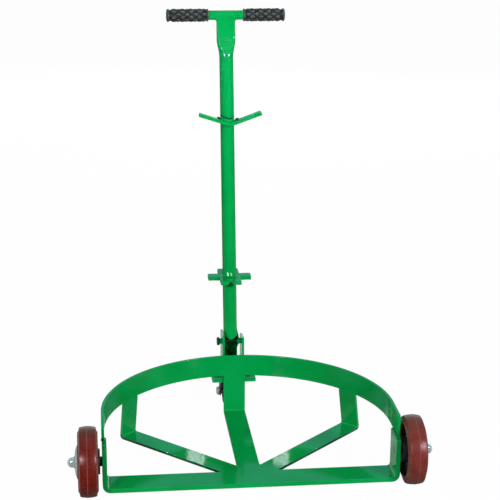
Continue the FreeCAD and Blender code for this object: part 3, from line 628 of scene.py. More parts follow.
@shape_group(Radius="Float", Pitch="Float", Ripple="Float", Taper="Float", Seed="Float")
def weld_bead(tree, given):
    """Weld bead along a path: overlapping ripples, uneven size and ends that die away."""
    step = maths(tree, "DIVIDE", given["Pitch"], 5.0)
    inputs = {"Curve": given["Geometry"], "Length": step}
    dense = out(tree, "GeometryNodeResampleCurve", inputs, mode="LENGTH")
    along = put(tree, "GeometryNodeSplineParameter").outputs["Length"]
    whole = put(tree, "GeometryNodeSplineLength").outputs["Length"]
    wave = maths(tree, "FRACT", maths(tree, "DIVIDE", along, given["Pitch"]))
    scale = times(tree, times(tree, wave, wave), given["Ripple"])
    to_end = maths(tree, "MINIMUM", along, minus(tree, whole, along))
    rise = between(tree, maths(tree, "DIVIDE", to_end, given["Radius"]), 0.0, 1.2, 0.25, 1.0)
    ends = plus(tree, times(tree, minus(tree, rise, 1.0), given["Taper"]), 1.0)
    spot = out(tree, "GeometryNodeInputPosition")
    apart = out(tree, "ShaderNodeVectorMath", {0: spot, 1: given["Seed"]}, operation="ADD")
    uneven = between(tree, noise(tree, apart, 0.16, 2), 0.25, 0.75, 0.86, 1.12)
    size = times(tree, times(tree, minus(tree, uneven, scale), ends), given["Radius"])
    section = out(tree, "GeometryNodeCurvePrimitiveCircle", {"Resolution": 12, "Radius": 1.0})
    inputs = {"Curve": dense, "Profile Curve": section, "Scale": size, "Fill Caps": True}
    return ended(tree, given, out(tree, "GeometryNodeCurveToMesh", inputs))


@shape_group(
    Radius="Float", Rows="Int", Columns="Int", Pitch="Float", Start="Float", End="Float", Lead="Float",
)
def grip_knobs(tree, given):
    """Staggered rows of one knob round a grip whose middle line is the X axis."""
    number = out(tree, "GeometryNodeInputIndex")
    row = maths(tree, "FLOOR", maths(tree, "DIVIDE", number, given["Columns"]))
    column = minus(tree, number, times(tree, row, given["Columns"]))
    stagger = times(tree, maths(tree, "MODULO", row, 2.0), 0.5)
    along = times(tree, plus(tree, column, stagger), given["Pitch"])
    along = plus(tree, along, given["Start"])
    turn = times(tree, maths(tree, "DIVIDE", row, given["Rows"]), 2 * math.pi)
    turn = minus(tree, turn, given["Lead"])
    place = out(tree, "ShaderNodeCombineXYZ", {
        "X": along,
        "Y": times(tree, maths(tree, "COSINE", turn), given["Radius"]),
        "Z": times(tree, maths(tree, "SINE", turn), given["Radius"]),
    })
    tilt = out(tree, "ShaderNodeCombineXYZ", {"X": minus(tree, turn, math.pi / 2)})
    inputs = {"Count": times(tree, given["Rows"], given["Columns"]), "Position": place}
    spots = out(tree, "GeometryNodePoints", inputs)
    inside = out(tree, "FunctionNodeCompare", {0: along, 1: given["End"]}, operation="LESS_EQUAL")
    vector = {"data_type": "FLOAT_VECTOR"}
    inputs = {"Geometry": spots, "Name": "tilt", "Value": tilt}
    keep = out(tree, "GeometryNodeStoreNamedAttribute", inputs, domain="POINT", **vector)
    turned = out(tree, "GeometryNodeInputNamedAttribute", {"Name": "tilt"}, **vector)
    inputs = {"Points": keep, "Selection": inside, "Instance": given["Geometry"], "Rotation": turned}
    return ended(tree, given, out(tree, "GeometryNodeInstanceOnPoints", inputs))


@shape_group(Count="Int")
def spaced_round(tree, given):
    """Copies of one shape, evenly spaced round the X axis."""
    share = maths(tree, "DIVIDE", out(tree, "GeometryNodeInputIndex"), given["Count"])
    turn = out(tree, "ShaderNodeCombineXYZ", {"X": times(tree, share, 2 * math.pi)})
    spots = out(tree, "GeometryNodePoints", {"Count": given["Count"]})
    inputs = {"Points": spots, "Instance": given["Geometry"], "Rotation": turn}
    return ended(tree, given, out(tree, "GeometryNodeInstanceOnPoints", inputs))


@shape_group(Across="Float", Deep="Float")
def at_corners(tree, given):
    """Four copies of one fastener at the corners of a level oblong."""
    inputs = {"Size X": given["Across"], "Size Y": given["Deep"], "Vertices X": 2, "Vertices Y": 2}
    corners = out(tree, "GeometryNodeMeshGrid", inputs)
    inputs = {"Points": corners, "Instance": given["Geometry"]}
    return ended(tree, given, out(tree, "GeometryNodeInstanceOnPoints", inputs))


def eased_path(points, bend, steps=8):
    """Points of a path whose inner corners are rounded to a bend radius."""
    path = [Vector(points[0])]
    for before, corner, after in zip(points, points[1:], points[2:]):
        corner = Vector(corner)
        back = (Vector(before) - corner).normalized()
        ahead = (Vector(after) - corner).normalized()
        half = back.angle(ahead) / 2
        middle = corner + (back + ahead).normalized() * (bend / math.sin(half))
        start = corner + back * (bend / math.tan(half)) - middle
        end = corner + ahead * (bend / math.tan(half)) - middle
        path += [middle + spot for spot in arc(start, end, steps)]
    path.append(Vector(points[-1]))
    return path


def ease_corners(work, sharp, ease):
    """Rounds the edges that turn more than an angle in degrees."""
    limit = math.radians(sharp)
    corners = [edge for edge in work.edges if edge.is_manifold and edge.calc_face_angle(0) > limit]
    bmesh.ops.bevel(
        work, geom=corners, offset=ease, segments=2, profile=0.5, affect="EDGES", clamp_overlap=True,
    )


def flat_bar(path, across, width, thickness, edge):
    """A flat bar along a path, with its cut ends eased."""
    sharp, end_ease = 60, 0.6
    mesh = grown(
        bar_sweep(), line_through(path), Width=width, Thickness=thickness, Edge=edge / mm,
        Across=tuple(across), Material=finish("green_paint"),
    )
    with edited(mesh) as work:
        bmesh.ops.remove_doubles(work, verts=work.verts, dist=merge_distance)
        ease_corners(work, sharp, end_ease)
        bmesh.ops.recalc_face_normals(work, faces=work.faces)
    return mesh


def trimmed(mesh, point, outward):
    """A mesh cut off square at a plane, and closed there."""
    with edited(mesh) as work:
        shape = list(work.verts) + list(work.edges) + list(work.faces)
        bmesh.ops.bisect_plane(work, geom=shape, plane_co=point, plane_no=outward, clear_outer=True)
        rim = [edge for edge in work.edges if edge.is_boundary]
        bmesh.ops.holes_fill(work, edges=rim, sides=0)
        bmesh.ops.recalc_face_normals(work, faces=work.faces)
    return mesh


def outline(corners, steps):
    """A flat outline whose corners are rounded: each corner is along, radius and rounding."""
    most = 0.48
    points = []
    for index, (along, radius, ease) in enumerate(corners):
        corner = Vector((along, radius))
        if ease <= 0 or index in (0, len(corners) - 1):
            points.append(corner)
            continue
        back = Vector(corners[index - 1][:2]) - corner
        ahead = Vector(corners[index + 1][:2]) - corner
        half = back.angle(ahead) / 2
        pull = min(ease / math.tan(half), most * back.length, most * ahead.length)
        start = corner + back.normalized() * pull
        end = corner + ahead.normalized() * pull
        for step in range(steps + 1):
            share = step / steps
            points.append((1 - share) ** 2 * start + 2 * share * (1 - share) * corner + share ** 2 * end)
    return points


def lathe(corners, segments=96, steps=3):
    """A shape turned round the X axis from its outline. An outline off the axis is closed on itself."""
    on_axis = 1e-6
    line = outline(corners, steps)
    points = []
    rings = []
    for along, radius in line:
        if radius < on_axis:
            rings.append([len(points)] * segments)
            points.append((along, 0, 0))
            continue
        rings.append(list(range(len(points), len(points) + segments)))
        for index in range(segments):
            turn = 2 * math.pi * index / segments
            points.append((along, radius * math.cos(turn), radius * math.sin(turn)))
    if line[0][1] > on_axis:
        rings.append(rings[0])
    return mesh_from(points, strips(rings))


def rod(low, high, radius, ease, far_ease, segments):
    """A round rod along X with its rims eased."""
    return lathe([(low, 0, 0), (low, radius, ease), (high, radius, far_ease), (high, 0, 0)], segments)


def sleeve(low, high, bore, radius, ease):
    """A round sleeve along X with its outer rims eased."""
    return lathe([(low, bore, 0), (low, radius, ease), (high, radius, ease), (high, bore, 0)], 48)


def on_axle(side, place=wheel_axle):
    """Places a turned shape whose X is the distance outwards from the trolley's middle."""
    return deck_frame @ Matrix.Translation((0, place.y, place.z)) @ Matrix.Diagonal((side, 1, 1, 1))


def eased_copy(node, ease):
    """A copy of a CAD node's solid with its corners eased."""
    sharp, flat, merge = 30, math.radians(0.6), 1e-6
    mesh = bpy.data.meshes.new("draft")
    work = bmesh.new()
    work.from_mesh(frame["nodes"][node].data)
    bmesh.ops.remove_doubles(work, verts=work.verts, dist=merge)
    bmesh.ops.dissolve_limit(work, angle_limit=flat, verts=work.verts, edges=work.edges)
    ease_corners(work, sharp, ease)
    bmesh.ops.remove_doubles(work, verts=work.verts, dist=merge)
    work.to_mesh(mesh)
    work.free()
    return mesh


def hexagon(flats, low, high, crown=0.0):
    """A hexagon along X with its corners chamfered at both ends, and a low crown past its far end."""
    way = math.copysign(1, high - low)
    chamfer = 0.09 * flats * way
    rim, corner, top = 0.485, 0.58, 0.26
    rings = (
        (low, rim), (low + chamfer, corner), (high - chamfer, corner), (high, rim),
        (high + crown * way, top),
    )
    count = 36
    points = []
    for along, most in rings:
        for index in range(count):
            turn = 2 * math.pi * index / count
            side = flats / 2 / math.cos(turn % (math.pi / 3) - math.pi / 6)
            reach = min(side, most * flats)
            points.append((along, reach * math.cos(turn), reach * math.sin(turn)))
    numbers = numbered(len(rings), count)
    return mesh_from(points, [numbers[0], numbers[-1]] + strips(numbers))


class TROLLEY_OT_stage(bpy.types.Operator):
    """Floor, room light, lamps and camera"""
    bl_idname = "trolley.stage"
    bl_label = "Stage"

    def execute(self, context):
        make_floor()
        make_room()
        make_lamps()
        make_camera()
        context.scene.view_settings.view_transform = "Standard"
        return {"FINISHED"}


def make_floor():
    """Pale floor that shows white, with the trolley's soft shadow and its own tone in shiny surfaces."""
    half = 9.0
    corners = [(-half, -half, 0), (half, -half, 0), (half, half, 0), (-half, half, 0)]
    mesh = bpy.data.meshes.new("floor")
    mesh.from_pydata(corners, [], [(0, 1, 2, 3)])
    floor = placed("floor", mesh)
    material = bpy.data.materials.new("pale_floor")
    material.use_nodes = True
    tree = material.node_tree
    tree.nodes.clear()
    place = put(tree, "ShaderNodeTexCoord").outputs["Object"]
    tone = tuple(bpy.context.scene.trolley_stage.floor)
    faint = tuple(0.97 * value for value in tone)
    far_tone, near_tone, bright_tone = (0.04, 0.11, 0.10), (0.17, 0.42, 0.38), (0.78, 0.9, 0.88)
    path = put(tree, "ShaderNodeLightPath").outputs
    shade_of = mixed(tree, noise(tree, place, 3, 2), tone, faint)
    parts = put(tree, "ShaderNodeSeparateXYZ", {0: place}).outputs
    behind = parts["Y"]
    beside = between(tree, maths(tree, "ABSOLUTE", parts["X"]), 0.14, 0.19)
    beside = times(tree, beside, band(tree, behind, -0.26, -0.20, 0.10, 0.18))
    patch = band(tree, behind, 0.25, 0.40, 0.75, 1.0)
    near = band(tree, behind, -0.40, -0.22, 0.75, 1.0)
    shine = mixed(tree, near, far_tone, near_tone)
    shine = mixed(tree, maths(tree, "MAXIMUM", patch, beside), shine, bright_tone)
    shade_of = mixed(tree, path["Is Glossy Ray"], shade_of, shine)
    matt = out(tree, "ShaderNodeBsdfDiffuse", {"Color": shade_of})
    glow = out(tree, "ShaderNodeEmission", {"Color": (1, 1, 1), "Strength": 1.01})
    seen = maths(tree, "MAXIMUM", path["Is Camera Ray"], path["Is Transmission Ray"])
    share = times(tree, seen, 0.97)
    both = out(tree, "ShaderNodeMixShader", {0: share, 1: matt, 2: glow})
    put(tree, "ShaderNodeOutputMaterial", {"Surface": both})
    mesh.materials.append(material)


def make_room():
    """Room light: even on matt surfaces, white to the eye, and in gloss a pale backdrop and a dark front."""
    stage = bpy.context.scene.trolley_stage
    world = bpy.data.worlds.new("room")
    bpy.context.scene.world = world
    world.use_nodes = True
    tree = world.node_tree
    tree.nodes.clear()
    ray = put(tree, "ShaderNodeTexCoord").outputs["Generated"]
    warm_tone, back_tone, low_tone = (1, 1, 0.75), (0.27, 1.0, 0.97), (0.82, 1, 0.97)
    soft = out(tree, "ShaderNodeBackground", {"Color": warm_tone, "Strength": stage.room_level})
    backdrop = (0.0, 0.91, 0.41)
    back = put(tree, "ShaderNodeVectorMath", {0: ray, 1: backdrop}, operation="DOT_PRODUCT")
    shine = between(tree, back.outputs["Value"], -0.15, 0.35, stage.dark_level, stage.backdrop_level)
    parts = put(tree, "ShaderNodeSeparateXYZ", {0: ray}).outputs
    low = times(tree, between(tree, parts["Z"], 0.31, 0.19), between(tree, parts["Y"], 0.2, 0.7))
    shine = plus(tree, shine, times(tree, low, stage.low_level))
    path = put(tree, "ShaderNodeLightPath").outputs
    eye = maths(tree, "MAXIMUM", path["Is Camera Ray"], path["Is Transmission Ray"])
    bright = maths(tree, "MAXIMUM", eye, shine)
    tint = mixed(tree, maths(tree, "MAXIMUM", eye, low), back_tone, low_tone)
    tint = mixed(tree, eye, tint, (1, 1, 1))
    white = out(tree, "ShaderNodeBackground", {"Color": tint, "Strength": bright})
    seen = maths(tree, "MAXIMUM", eye, path["Is Glossy Ray"])
    both = out(tree, "ShaderNodeMixShader", {0: seen, 1: soft, 2: white})
    put(tree, "ShaderNodeOutputWorld", {"Surface": both})


def add_lamp(name, place, aim, size, power, tint=(1, 1, 1)):
    """A soft box, wide and tall as its size says, that points at a place."""
    lamp = bpy.data.lights.new(name, "AREA")
    lamp.shape = "RECTANGLE"
    lamp.size, lamp.size_y = size
    lamp.energy = power
    lamp.color = tint
    holder = placed(name, lamp)
    holder.location = place
    holder.rotation_euler = (Vector(aim) - Vector(place)).to_track_quat("-Z", "Y").to_euler()
    return holder


def make_lamps():
    """Soft boxes far to the camera's right and left, a small one for the handle's top, and a fill behind."""
    stage = bpy.context.scene.trolley_stage
    distance = 5.0
    above = math.radians(24.7)
    middle_behind, middle_height = 0.1, 0.13
    level = distance * math.cos(above)
    height = middle_height + distance * math.sin(above)
    tall, cool = 0.36, (0.92, 1, 1.1)
    for name, bearing, width, power in (
        ("right_lamp", 38, 1.2, stage.right_power), ("left_lamp", -33, 1.0, stage.left_power),
    ):
        around = math.radians(bearing)
        place = (level * math.sin(around), middle_behind - level * math.cos(around), height)
        add_lamp(name, place, (0, 0, 0.3), (width, tall), power, cool)
    place, aim = (0.1, -2.2, 2.4), (0, 0.29, 0.95)
    top = add_lamp("handle_lamp", place, aim, (0.9, 0.7), stage.handle_power, (0.9, 1, 1.2))
    top.data.spread = math.radians(22)
    top.visible_glossy = False
    rear = add_lamp("rear_lamp", (0.6, 4.6, 1.3), (0, 0.2, 0.35), (2.4, 1.2), stage.rear_power)
    rear.visible_glossy = False


def make_camera():
    """Camera at the photograph's place, aimed by its bearing, dip and roll."""
    camera = bpy.data.cameras.new("photo_camera")
    holder = placed("photo_camera", camera)
    bearing, dip, roll = 0.1098, 0.2912, 0.0066
    camera_place = Vector((-338.261, -3074.5503, 1435.2561))
    focal_pixels = 1552.2875
    picture_pixels = 500
    ahead = Vector((math.sin(bearing) * math.cos(dip), math.cos(bearing) * math.cos(dip), -math.sin(dip)))
    right = Vector((math.cos(bearing), -math.sin(bearing), 0))
    up = right.cross(ahead)
    right_rolled = math.cos(roll) * right + math.sin(roll) * up
    up_rolled = math.cos(roll) * up - math.sin(roll) * right
    aim = Matrix((right_rolled, up_rolled, -ahead)).transposed().to_4x4()
    aim.translation = deck_frame @ camera_place
    holder.matrix_world = aim
    camera.sensor_fit = "HORIZONTAL"
    camera.sensor_width = 36
    camera.lens = focal_pixels / picture_pixels * camera.sensor_width
    camera.clip_end = 100
    bpy.context.scene.camera = holder


class TROLLEY_OT_deck(bpy.types.Operator):
    """Front bar with its uprights, and the half ring"""
    bl_idname = "trolley.deck"
    bl_label = "Bar and ring"

    def execute(self, context):
        edge = sizes().bar_edge
        middle = bar_rear - bar_width / 2
        face = bar_outside - bar_thickness / 2
        low = bar_top - bar_thickness / 2
        left = [(-face, middle, ring_low), (-face, middle, low)]
        right = [(face, middle, low), (face, middle, ring_low)]
        path = eased_path(left + right, bar_bend, 10)
        bar = flat_bar(path, (0, 1, 0), bar_width, bar_thickness, edge)
        stand_in("base_bar", moved(bar, deck_frame), "frame", "green_paint", 1.0)
        height = (ring_low + ring_high) / 2
        path = [(-ring_radius, ring_left_end, height)]
        steps = 144
        for index in range(steps + 1):
            turn = math.pi * (1 - index / steps)
            path.append((ring_radius * math.cos(turn), ring_radius * math.sin(turn), height))
        path.append((ring_radius, ring_right_end, height))
        ring = flat_bar(path, (0, 0, 1), ring_high - ring_low, strip_thickness, edge)
        stand_in("ring_band", moved(ring, deck_frame), "frame", "green_paint", 1.0)
        return {"FINISHED"}


class TROLLEY_OT_straps(bpy.types.Operator):
    """Three straps from the ring to the front bar"""
    bl_idname = "trolley.straps"
    bl_label = "Straps"

    def execute(self, context):
        edge = sizes().strap_edge
        level = bar_top - strip_thickness / 2
        corners = [(0, bar_rear, level), (0, strap_leg, level), (0, strap_leg, ring_low + 0.5)]
        path = eased_path(corners, strip_bend)
        strap = flat_bar(path, (1, 0, 0), middle_strap_width, strip_thickness, edge)
        stand_in("centre_strap", moved(strap, deck_frame), "frame", "green_paint", 0.8)
        for side, name, lean in ((-1, "left", 5.5), (1, "right", 9.5)):
            strap = moved(diagonal_strap(side, math.radians(lean), level, edge), deck_frame)
            made = stand_in(name + "_diagonal_strap", strap, "frame", "green_paint", 0.8)
            mark_dark_sides(made.data, Vector((side, -1, 0)).normalized())
        return {"FINISHED"}


def diagonal_strap(side, lean, level, edge):
    """A slanting strap whose leg leans inwards, trimmed where it meets the bar and the middle strap."""
    slant = math.sqrt(0.5)
    way = Vector((side * slant, slant, 0))
    start = Vector((*strap_meeting, level))
    foot = strap_reach + (ring_low - level) * math.tan(lean)
    overlap = 0.8
    rise = Vector((0, 0, ring_low + overlap - level))
    corners = [start, start + way * foot, start + way * (strap_reach - overlap * math.tan(lean)) + rise]
    across = (slant, -side * slant, 0)
    strap = flat_bar(eased_path(corners, strip_bend), across, side_strap_width, strip_thickness, edge)
    strap = trimmed(strap, (0, bar_rear, 0), (0, -1, 0))
    return trimmed(strap, (side * middle_strap_width / 2, 0, 0), (-side, 0, 0))


def mark_dark_sides(mesh, way):
    """Marks a strap's two sheared sides along the floor, which are coloured dark."""
    floor_part, facing = 0.024, 0.8
    sides = [abs(face.normal.dot(way)) > facing and face.center.z < floor_part for face in mesh.polygons]
    mark(mesh, "dark_sides_and_painted_shade", [float(side) for side in sides])


class TROLLEY_OT_bracket(bpy.types.Operator):
    """Handle bracket, its bolt and the plate over the caster"""
    bl_idname = "trolley.bracket"
    bl_label = "Bracket"

    def execute(self, context):
        plate = sizes().plate_edge
        small = 0.0004
        for node, ease, narrow in (
            ("caster_mount_plate", plate, 0.7), ("left_ear", plate, 0.7), ("right_ear", plate, 0.7),
            ("handle_stop", plate, 0.7), ("pivot_collar", small, 0.5), ("pivot_spacer", small, 0.5),
        ):
            stand_in(node, eased_copy(node, ease), "frame", "green_paint", narrow)
        low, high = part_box("pivot_bolt")
        flats, head, shank, radius = 17, -30.9, -31, 5
        shape = [hexagon(flats, head, low.x / mm, 0.3), rod(shank, high.x / mm, radius, 0.3, 0.7, 32)]
        bolt = moved(joined(shape), on_axle(1, pivot_place))
        made = stand_in("pivot_bolt", bolt, "frame", "black_paint", 0.5)
        mark(made.data, "overspray", np.ones(len(made.data.polygons), dtype=np.float32))
        return {"FINISHED"}


class TROLLEY_OT_front_wheels(bpy.types.Operator):
    """Tyres, cores, hub covers, spacers, washers and caps of the two front wheels"""
    bl_idname = "trolley.front_wheels"
    bl_label = "Front wheels"

    def execute(self, context):
        for side, name in ((-1, "left"), (1, "right")):
            place = on_axle(side)
            wheel = name + "_wheel"
            spacer = sleeve(bar_outside, spacer_outer, 9.1, 10.5, 0.5)
            for part, shape, body, slot, narrow in (
                ("_tyre", make_tyre(), wheel, "red_tyre", 0.0),
                ("_wheel_core", make_core(), wheel, "black_core", 0.9),
                ("_hub_cover", make_hub_cover(), wheel, "zinc", 0.0),
                ("_hub_washer", sleeve(washer_inner, washer_outer, 9.2, 13, 0.3), "frame", "zinc", 0.4),
                ("_axle_spacer", spacer, "frame", "black_paint", 0.5),
                ("_axle_cap", make_cap(), "frame", "chrome", 0.0),
            ):
                made = stand_in(name + part, moved(shape, place), body, slot, narrow)
                if part == "_tyre":
                    mark_scuffs_and_painted_light(made.data, right_tyre_painted_light if side > 0 else 0.0)
        return {"FINISHED"}


def make_tyre():
    """Tyre with a low crown, sloping shoulders and a moulding line, drawn outwards from the trolley."""
    middle = wheel_axle.x
    seam = sizes().seam_height / mm
    crown = wheel_axle.z - seam
    bulge = 62.0
    side = [
        (18.5, 58.2, 0), (21.3, 58.2, 0.8), (21.3, 61.5, 0.8), (19.2, 64.5, 0.6), (17.4, crown - 2.6, 1.4),
    ]
    seam_steps = ((-0.8, 0), (-0.4, seam), (0.4, seam), (0.8, 0))
    across = [(middle - offset, radius, ease) for offset, radius, ease in side]
    tread = [(offset, crown - offset ** 2 / (2 * bulge)) for offset in (-14, -10, -6, -3, 0)]
    tread += [(seam_place + offset, crown + lift) for offset, lift in seam_steps]
    tread += [(offset, crown - offset ** 2 / (2 * bulge)) for offset in (5, 8, 11, 14)]
    across += [(middle + offset, radius, 0) for offset, radius in tread]
    across += [(middle + offset, radius, ease) for offset, radius, ease in reversed(side)]
    return lathe(across, 128, 5)


def mark_scuffs_and_painted_light(mesh, pale_share):
    """Marks a tyre's moulding line paler, its shoulders and lips with a painted highlight, and the rest by a
    share that is painted light.
    """
    seam_half, shoulder = 0.9, 15.8
    marks = []
    for face in mesh.polygons:
        offset = abs(face.center.x / mm) - wheel_axle.x
        # painted highlight on the shoulders and lips; on the right tyre the whole share is painted light
        amount = max(pale_share, 0.55) if abs(offset) > shoulder else pale_share
        marks.append(0.9 if abs(offset - seam_place) < seam_half else amount)
    mark(mesh, "scuffs_and_painted_light", marks)


def make_core():
    """Moulded wheel core: rim, web, two bosses and ribs on both sides of the web."""
    middle = wheel_axle.x
    web, rim, bore, outer = 7.0, 19.25, 12.5, 56.5
    rib_foot, rib_top = 6.5, 15.5
    shell = lathe([
        (boss_inner, bore, 0), (boss_inner, 27, 1.5), (middle - web, 27.6, 2.0), (middle - web, 55.4, 2.5),
        (middle - rim, 56.2, 1.0), (middle - rim, 60, 0.4),
        (middle + rim, 60, 0.4), (middle + rim, 56.2, 1.0),
        (middle + web, 55.4, 2.5), (middle + web, 36.4, 2.0), (boss_outer, 36, 1.2), (boss_outer, bore, 0),
    ], 96)
    ribs = []
    for side, inner in ((-1, 27), (1, 35.5)):
        rib = rib_shape(middle + side * rib_foot, middle + side * rib_top, inner, outer)
        ribs.append(grown(spaced_round(), rib, Count=10, Material=finish("black_core")))
    return joined([shell] + ribs)


def rib_shape(start, end, inner, outer):
    """A thin tapered rib that stands on the web, rounded along its top."""
    points = []
    for reach in (inner, outer):
        for along, half in ((start, 2.0), (end - (end - start) * 0.1, 1.4), (end, 0.7)):
            points.append((along, -half, reach))
            points.append((along, half, reach))
    faces = [[0, 2, 4, 5, 3, 1], [6, 8, 10, 11, 9, 7], [0, 1, 7, 6]]
    faces += [[0, 2, 8, 6], [2, 4, 10, 8], [4, 5, 11, 10], [5, 3, 9, 11], [3, 1, 7, 9]]
    return mesh_from(points, faces)


def make_hub_cover():
    """Dished plated cover on the outside of a wheel."""
    bore = 10.5
    return lathe([
        (boss_outer, bore, 0), (boss_outer, 35, 0.4), (368.5, 35, 0.5), (369.2, 32, 2.0), (371.4, 27, 3.0),
        (cover_outer, 18, 3.0), (cover_outer, bore, 0),
    ], 96, 5)


def make_cap():
    """Bright push-on cap with a short skirt and a domed end."""
    skirt, dome, end = 374.6, 379.6, 388.5
    corners = [(skirt, 0, 0), (skirt, 10.8, 0.5), (dome, 10.8, 0.6)]
    for index in range(1, 8):
        turn = math.pi / 2 * index / 8
        corners.append((dome + (end - dome) * math.sin(turn), 10.6 * math.cos(turn), 0))
    return lathe(corners + [(end, 0, 0)], 64)


class TROLLEY_OT_caster(bpy.types.Operator):
    """Swivel caster: plate, race, fork, wheel and its fasteners"""
    bl_idname = "trolley.caster"
    bl_label = "Caster"

    def execute(self, context):
        plate = sizes().plate_edge
        flats, axle_flats = 13, 17
        across, deep = 72, 66
        race_low, race_high, race_bore, plate_top, fork_half = 79, 86, 12.5, 98, 27
        stand_in("caster_top_plate", eased_copy("caster_top_plate", plate), "frame", "black_paint", 0.7)
        under = deck_frame @ Matrix.Translation((0, kingpin, 0))
        upright = Matrix.Rotation(math.radians(-90), 4, "Y")
        race = lathe([
            (race_low, race_bore, 0), (race_low, 23, 1.0), (81.8, 24, 0.8), (82.2, 22.8, 0), (82.8, 22.8, 0),
            (83.2, 24, 0.8), (race_high, 23.4, 0.6), (race_high, race_bore, 0),
        ], 72)
        stand_in("caster_race", moved(race, under @ upright), "frame", "zinc", 0.5)
        stand_in("caster_kingpin", eased_copy("caster_kingpin", 0.0004), "frame", "zinc", 0.5)
        bolt = joined([hexagon(flats, plate_top, 103.1, 0.2), rod(79.2, 98.2, 3.9, 0.6, 0, 24)])
        for name, shape in (("caster_bolts", bolt), ("caster_nuts", hexagon(flats, 80.7, race_high))):
            shape = moved(shape, upright)
            four = grown(at_corners(), shape, Across=across, Deep=deep, Material=finish("zinc"))
            stand_in(name, moved(four, under), "frame", "zinc", 0.4)
        stand_in("caster_fork", eased_copy("caster_fork", plate), "caster_swivel", "black_paint", 0.7)
        bolt = joined([hexagon(axle_flats, fork_half, 33.2, 0.2), rod(-34.4, 27.2, 5, 0.8, 0, 32)])
        tyre = mirrored([(-19, 25, 0), (-19, 28.5, 1.5), (-15.5, 33.3, 3.5)], [(0, 34, 12)])
        core = mirrored([
            (-20, 8, 0), (-20, 12.5, 0.8), (-12, 13, 1.2), (-12, 20.5, 1.2), (-17.5, 21, 0.6),
            (-17.5, 25, 0.3),
        ])
        for name, shape, body, slot, narrow in (
            ("caster_axle_bolt", bolt, "caster_swivel", "zinc", 0.4),
            ("caster_axle_nut", hexagon(axle_flats, -fork_half, -33.4), "caster_swivel", "zinc", 0.4),
            ("caster_tyre", lathe(tyre, 96, 6), "caster_wheel", "grey_tyre", 0.0),
            ("caster_core", lathe(core, 72), "caster_wheel", "black_core", 0.6),
        ):
            stand_in(name, moved(shape, on_axle(1, caster_axle)), body, slot, narrow)
        return {"FINISHED"}


def mirrored(half, middle=()):
    """An outline and its mirror image, with what lies between them."""
    return [*half, *middle, *((-along, radius, ease) for along, radius, ease in reversed(half))]


class TROLLEY_OT_handle(bpy.types.Operator):
    """Handle tube, cross bar, V bar and wrench plate"""
    bl_idname = "trolley.handle"
    bl_label = "Handle"

    def execute(self, context):
        tube = stand_in("handle_tube", moved(make_tube(), handle_frame), "handle", "green_paint")
        mark_painted_shade_inside(tube.data)
        half = 133.5
        bar = rod(-half, half, grip_bar_radius, 0.6, 0.6, 64)
        stand_in("grip_bar", moved(bar, grip_bar_frame), "handle", "green_paint")
        for node, ease in (("v_bar", 0.0007), ("wrench_plate", 0.0009)):
            stand_in(node, eased_copy(node, ease), "handle", "green_paint", 1.0)
        return {"FINISHED"}


foot_end = -71.5
shaft_low = 60
flare_foot = (-16, -4)
flare_top = (36, 6)
tongue_tip = 7.0
tongue_radius = 10.0
taper_low = 664.0
taper_high = 700.0
flat_half_width = 21.7
flat_half_depth = 6.0
press_low = 664.0
press_high = 706.0
press_ramp = 16.0
press_slope = 0.3
press_softness = 1.5
flat_level = 740.0
crease = 3.0
tube_columns = 96
cheek_column = 23


def tongue_height(across):
    """Height of the foot's bowed front edge."""
    return tongue_tip + across ** 2 / (2 * tongue_radius)


def smooth(value, low, high):
    """A smooth step from 0 to 1."""
    share = min(max((value - low) / (high - low), 0), 1)
    return share * share * (3 - 2 * share)


def tube_spot(column, height, depth):
    """A point of the handle tube: its column, its height and its depth below the outer skin."""
    share = min(max((height - taper_low) / (taper_high - taper_low), 0), 1)
    widening = share * share * (2 - share)
    turn = 2 * math.pi * column / tube_columns
    radius = tube_radius - depth
    across = math.sin(turn) * (radius + (flat_half_width - tube_radius) * widening)
    ahead = abs(math.cos(turn)) * radius
    rise = max(height - press_low, 0)
    ramp = min(rise / press_ramp, 1)
    left = tube_radius - press_slope * (rise - press_ramp * ramp * (1 - ramp / 2))
    pressed = (left + flat_half_depth + math.hypot(left - flat_half_depth, press_softness)) / 2 - depth
    ahead = (ahead + pressed - math.hypot(ahead - pressed, crease * ramp)) / 2
    swell = min(smooth(height, *flare_top), smooth(height, *flare_foot)) * max(math.sin(turn), 0) ** 2
    return (across + sizes().foot_flare / mm * swell, math.copysign(max(ahead, 0), -math.cos(turn)), height)


def make_tube():
    """The handle's tube: open-fronted foot, round shaft and flattened top, with a real wall."""
    turns = [2 * math.pi * column / tube_columns for column in range(tube_columns)]
    cut = [tongue_height(tube_radius * math.sin(turn)) for turn in turns]
    joint = cut[cheek_column]
    low_rows = [foot_end + (joint - foot_end) * step / 14 for step in range(14)]
    high_rows = [shaft_low + (press_low - 1 - shaft_low) * step / 6 for step in range(7)]
    high_rows += [press_low + (press_high - press_low) * step / 32 for step in range(33)]
    high_rows += [708, 710, 713, 717, 722, 730, flat_level, 755]
    points = []
    faces = []
    rows = {}
    for skin, depth in (("outer", 0.0), ("inner", tube_wall)):
        for column in range(tube_columns):
            rear = cheek_column <= column <= tube_columns - cheek_column
            start = joint if rear else cut[column]
            heights = list(low_rows) if rear else []
            heights += [start + (shaft_low - start) * (step / 10) ** 1.2 for step in range(10)] + high_rows
            rows[skin, column] = list(range(len(points), len(points) + len(heights)))
            points += [tube_spot(column, height, depth) for height in heights]
    for column in range(tube_columns):
        ahead = (column + 1) % tube_columns
        for skin in ("outer", "inner"):
            first, second = rows[skin, column], rows[skin, ahead]
            short = min(len(first), len(second))
            first, second = first[-short:], second[-short:]
            for step in range(short - 1):
                faces.append([first[step], second[step], second[step + 1], first[step + 1]])
        outer, inner = rows["outer", column], rows["inner", column]
        next_outer, next_inner = rows["outer", ahead], rows["inner", ahead]
        for row in (-1, -min(len(outer), len(next_outer))):
            faces.append([outer[row], next_outer[row], next_inner[row], inner[row]])
    for column in (cheek_column, tube_columns - cheek_column):
        outer, inner = rows["outer", column], rows["inner", column]
        for step in range(len(low_rows)):
            faces.append([outer[step], outer[step + 1], inner[step + 1], inner[step]])
    return mesh_from(points, faces)


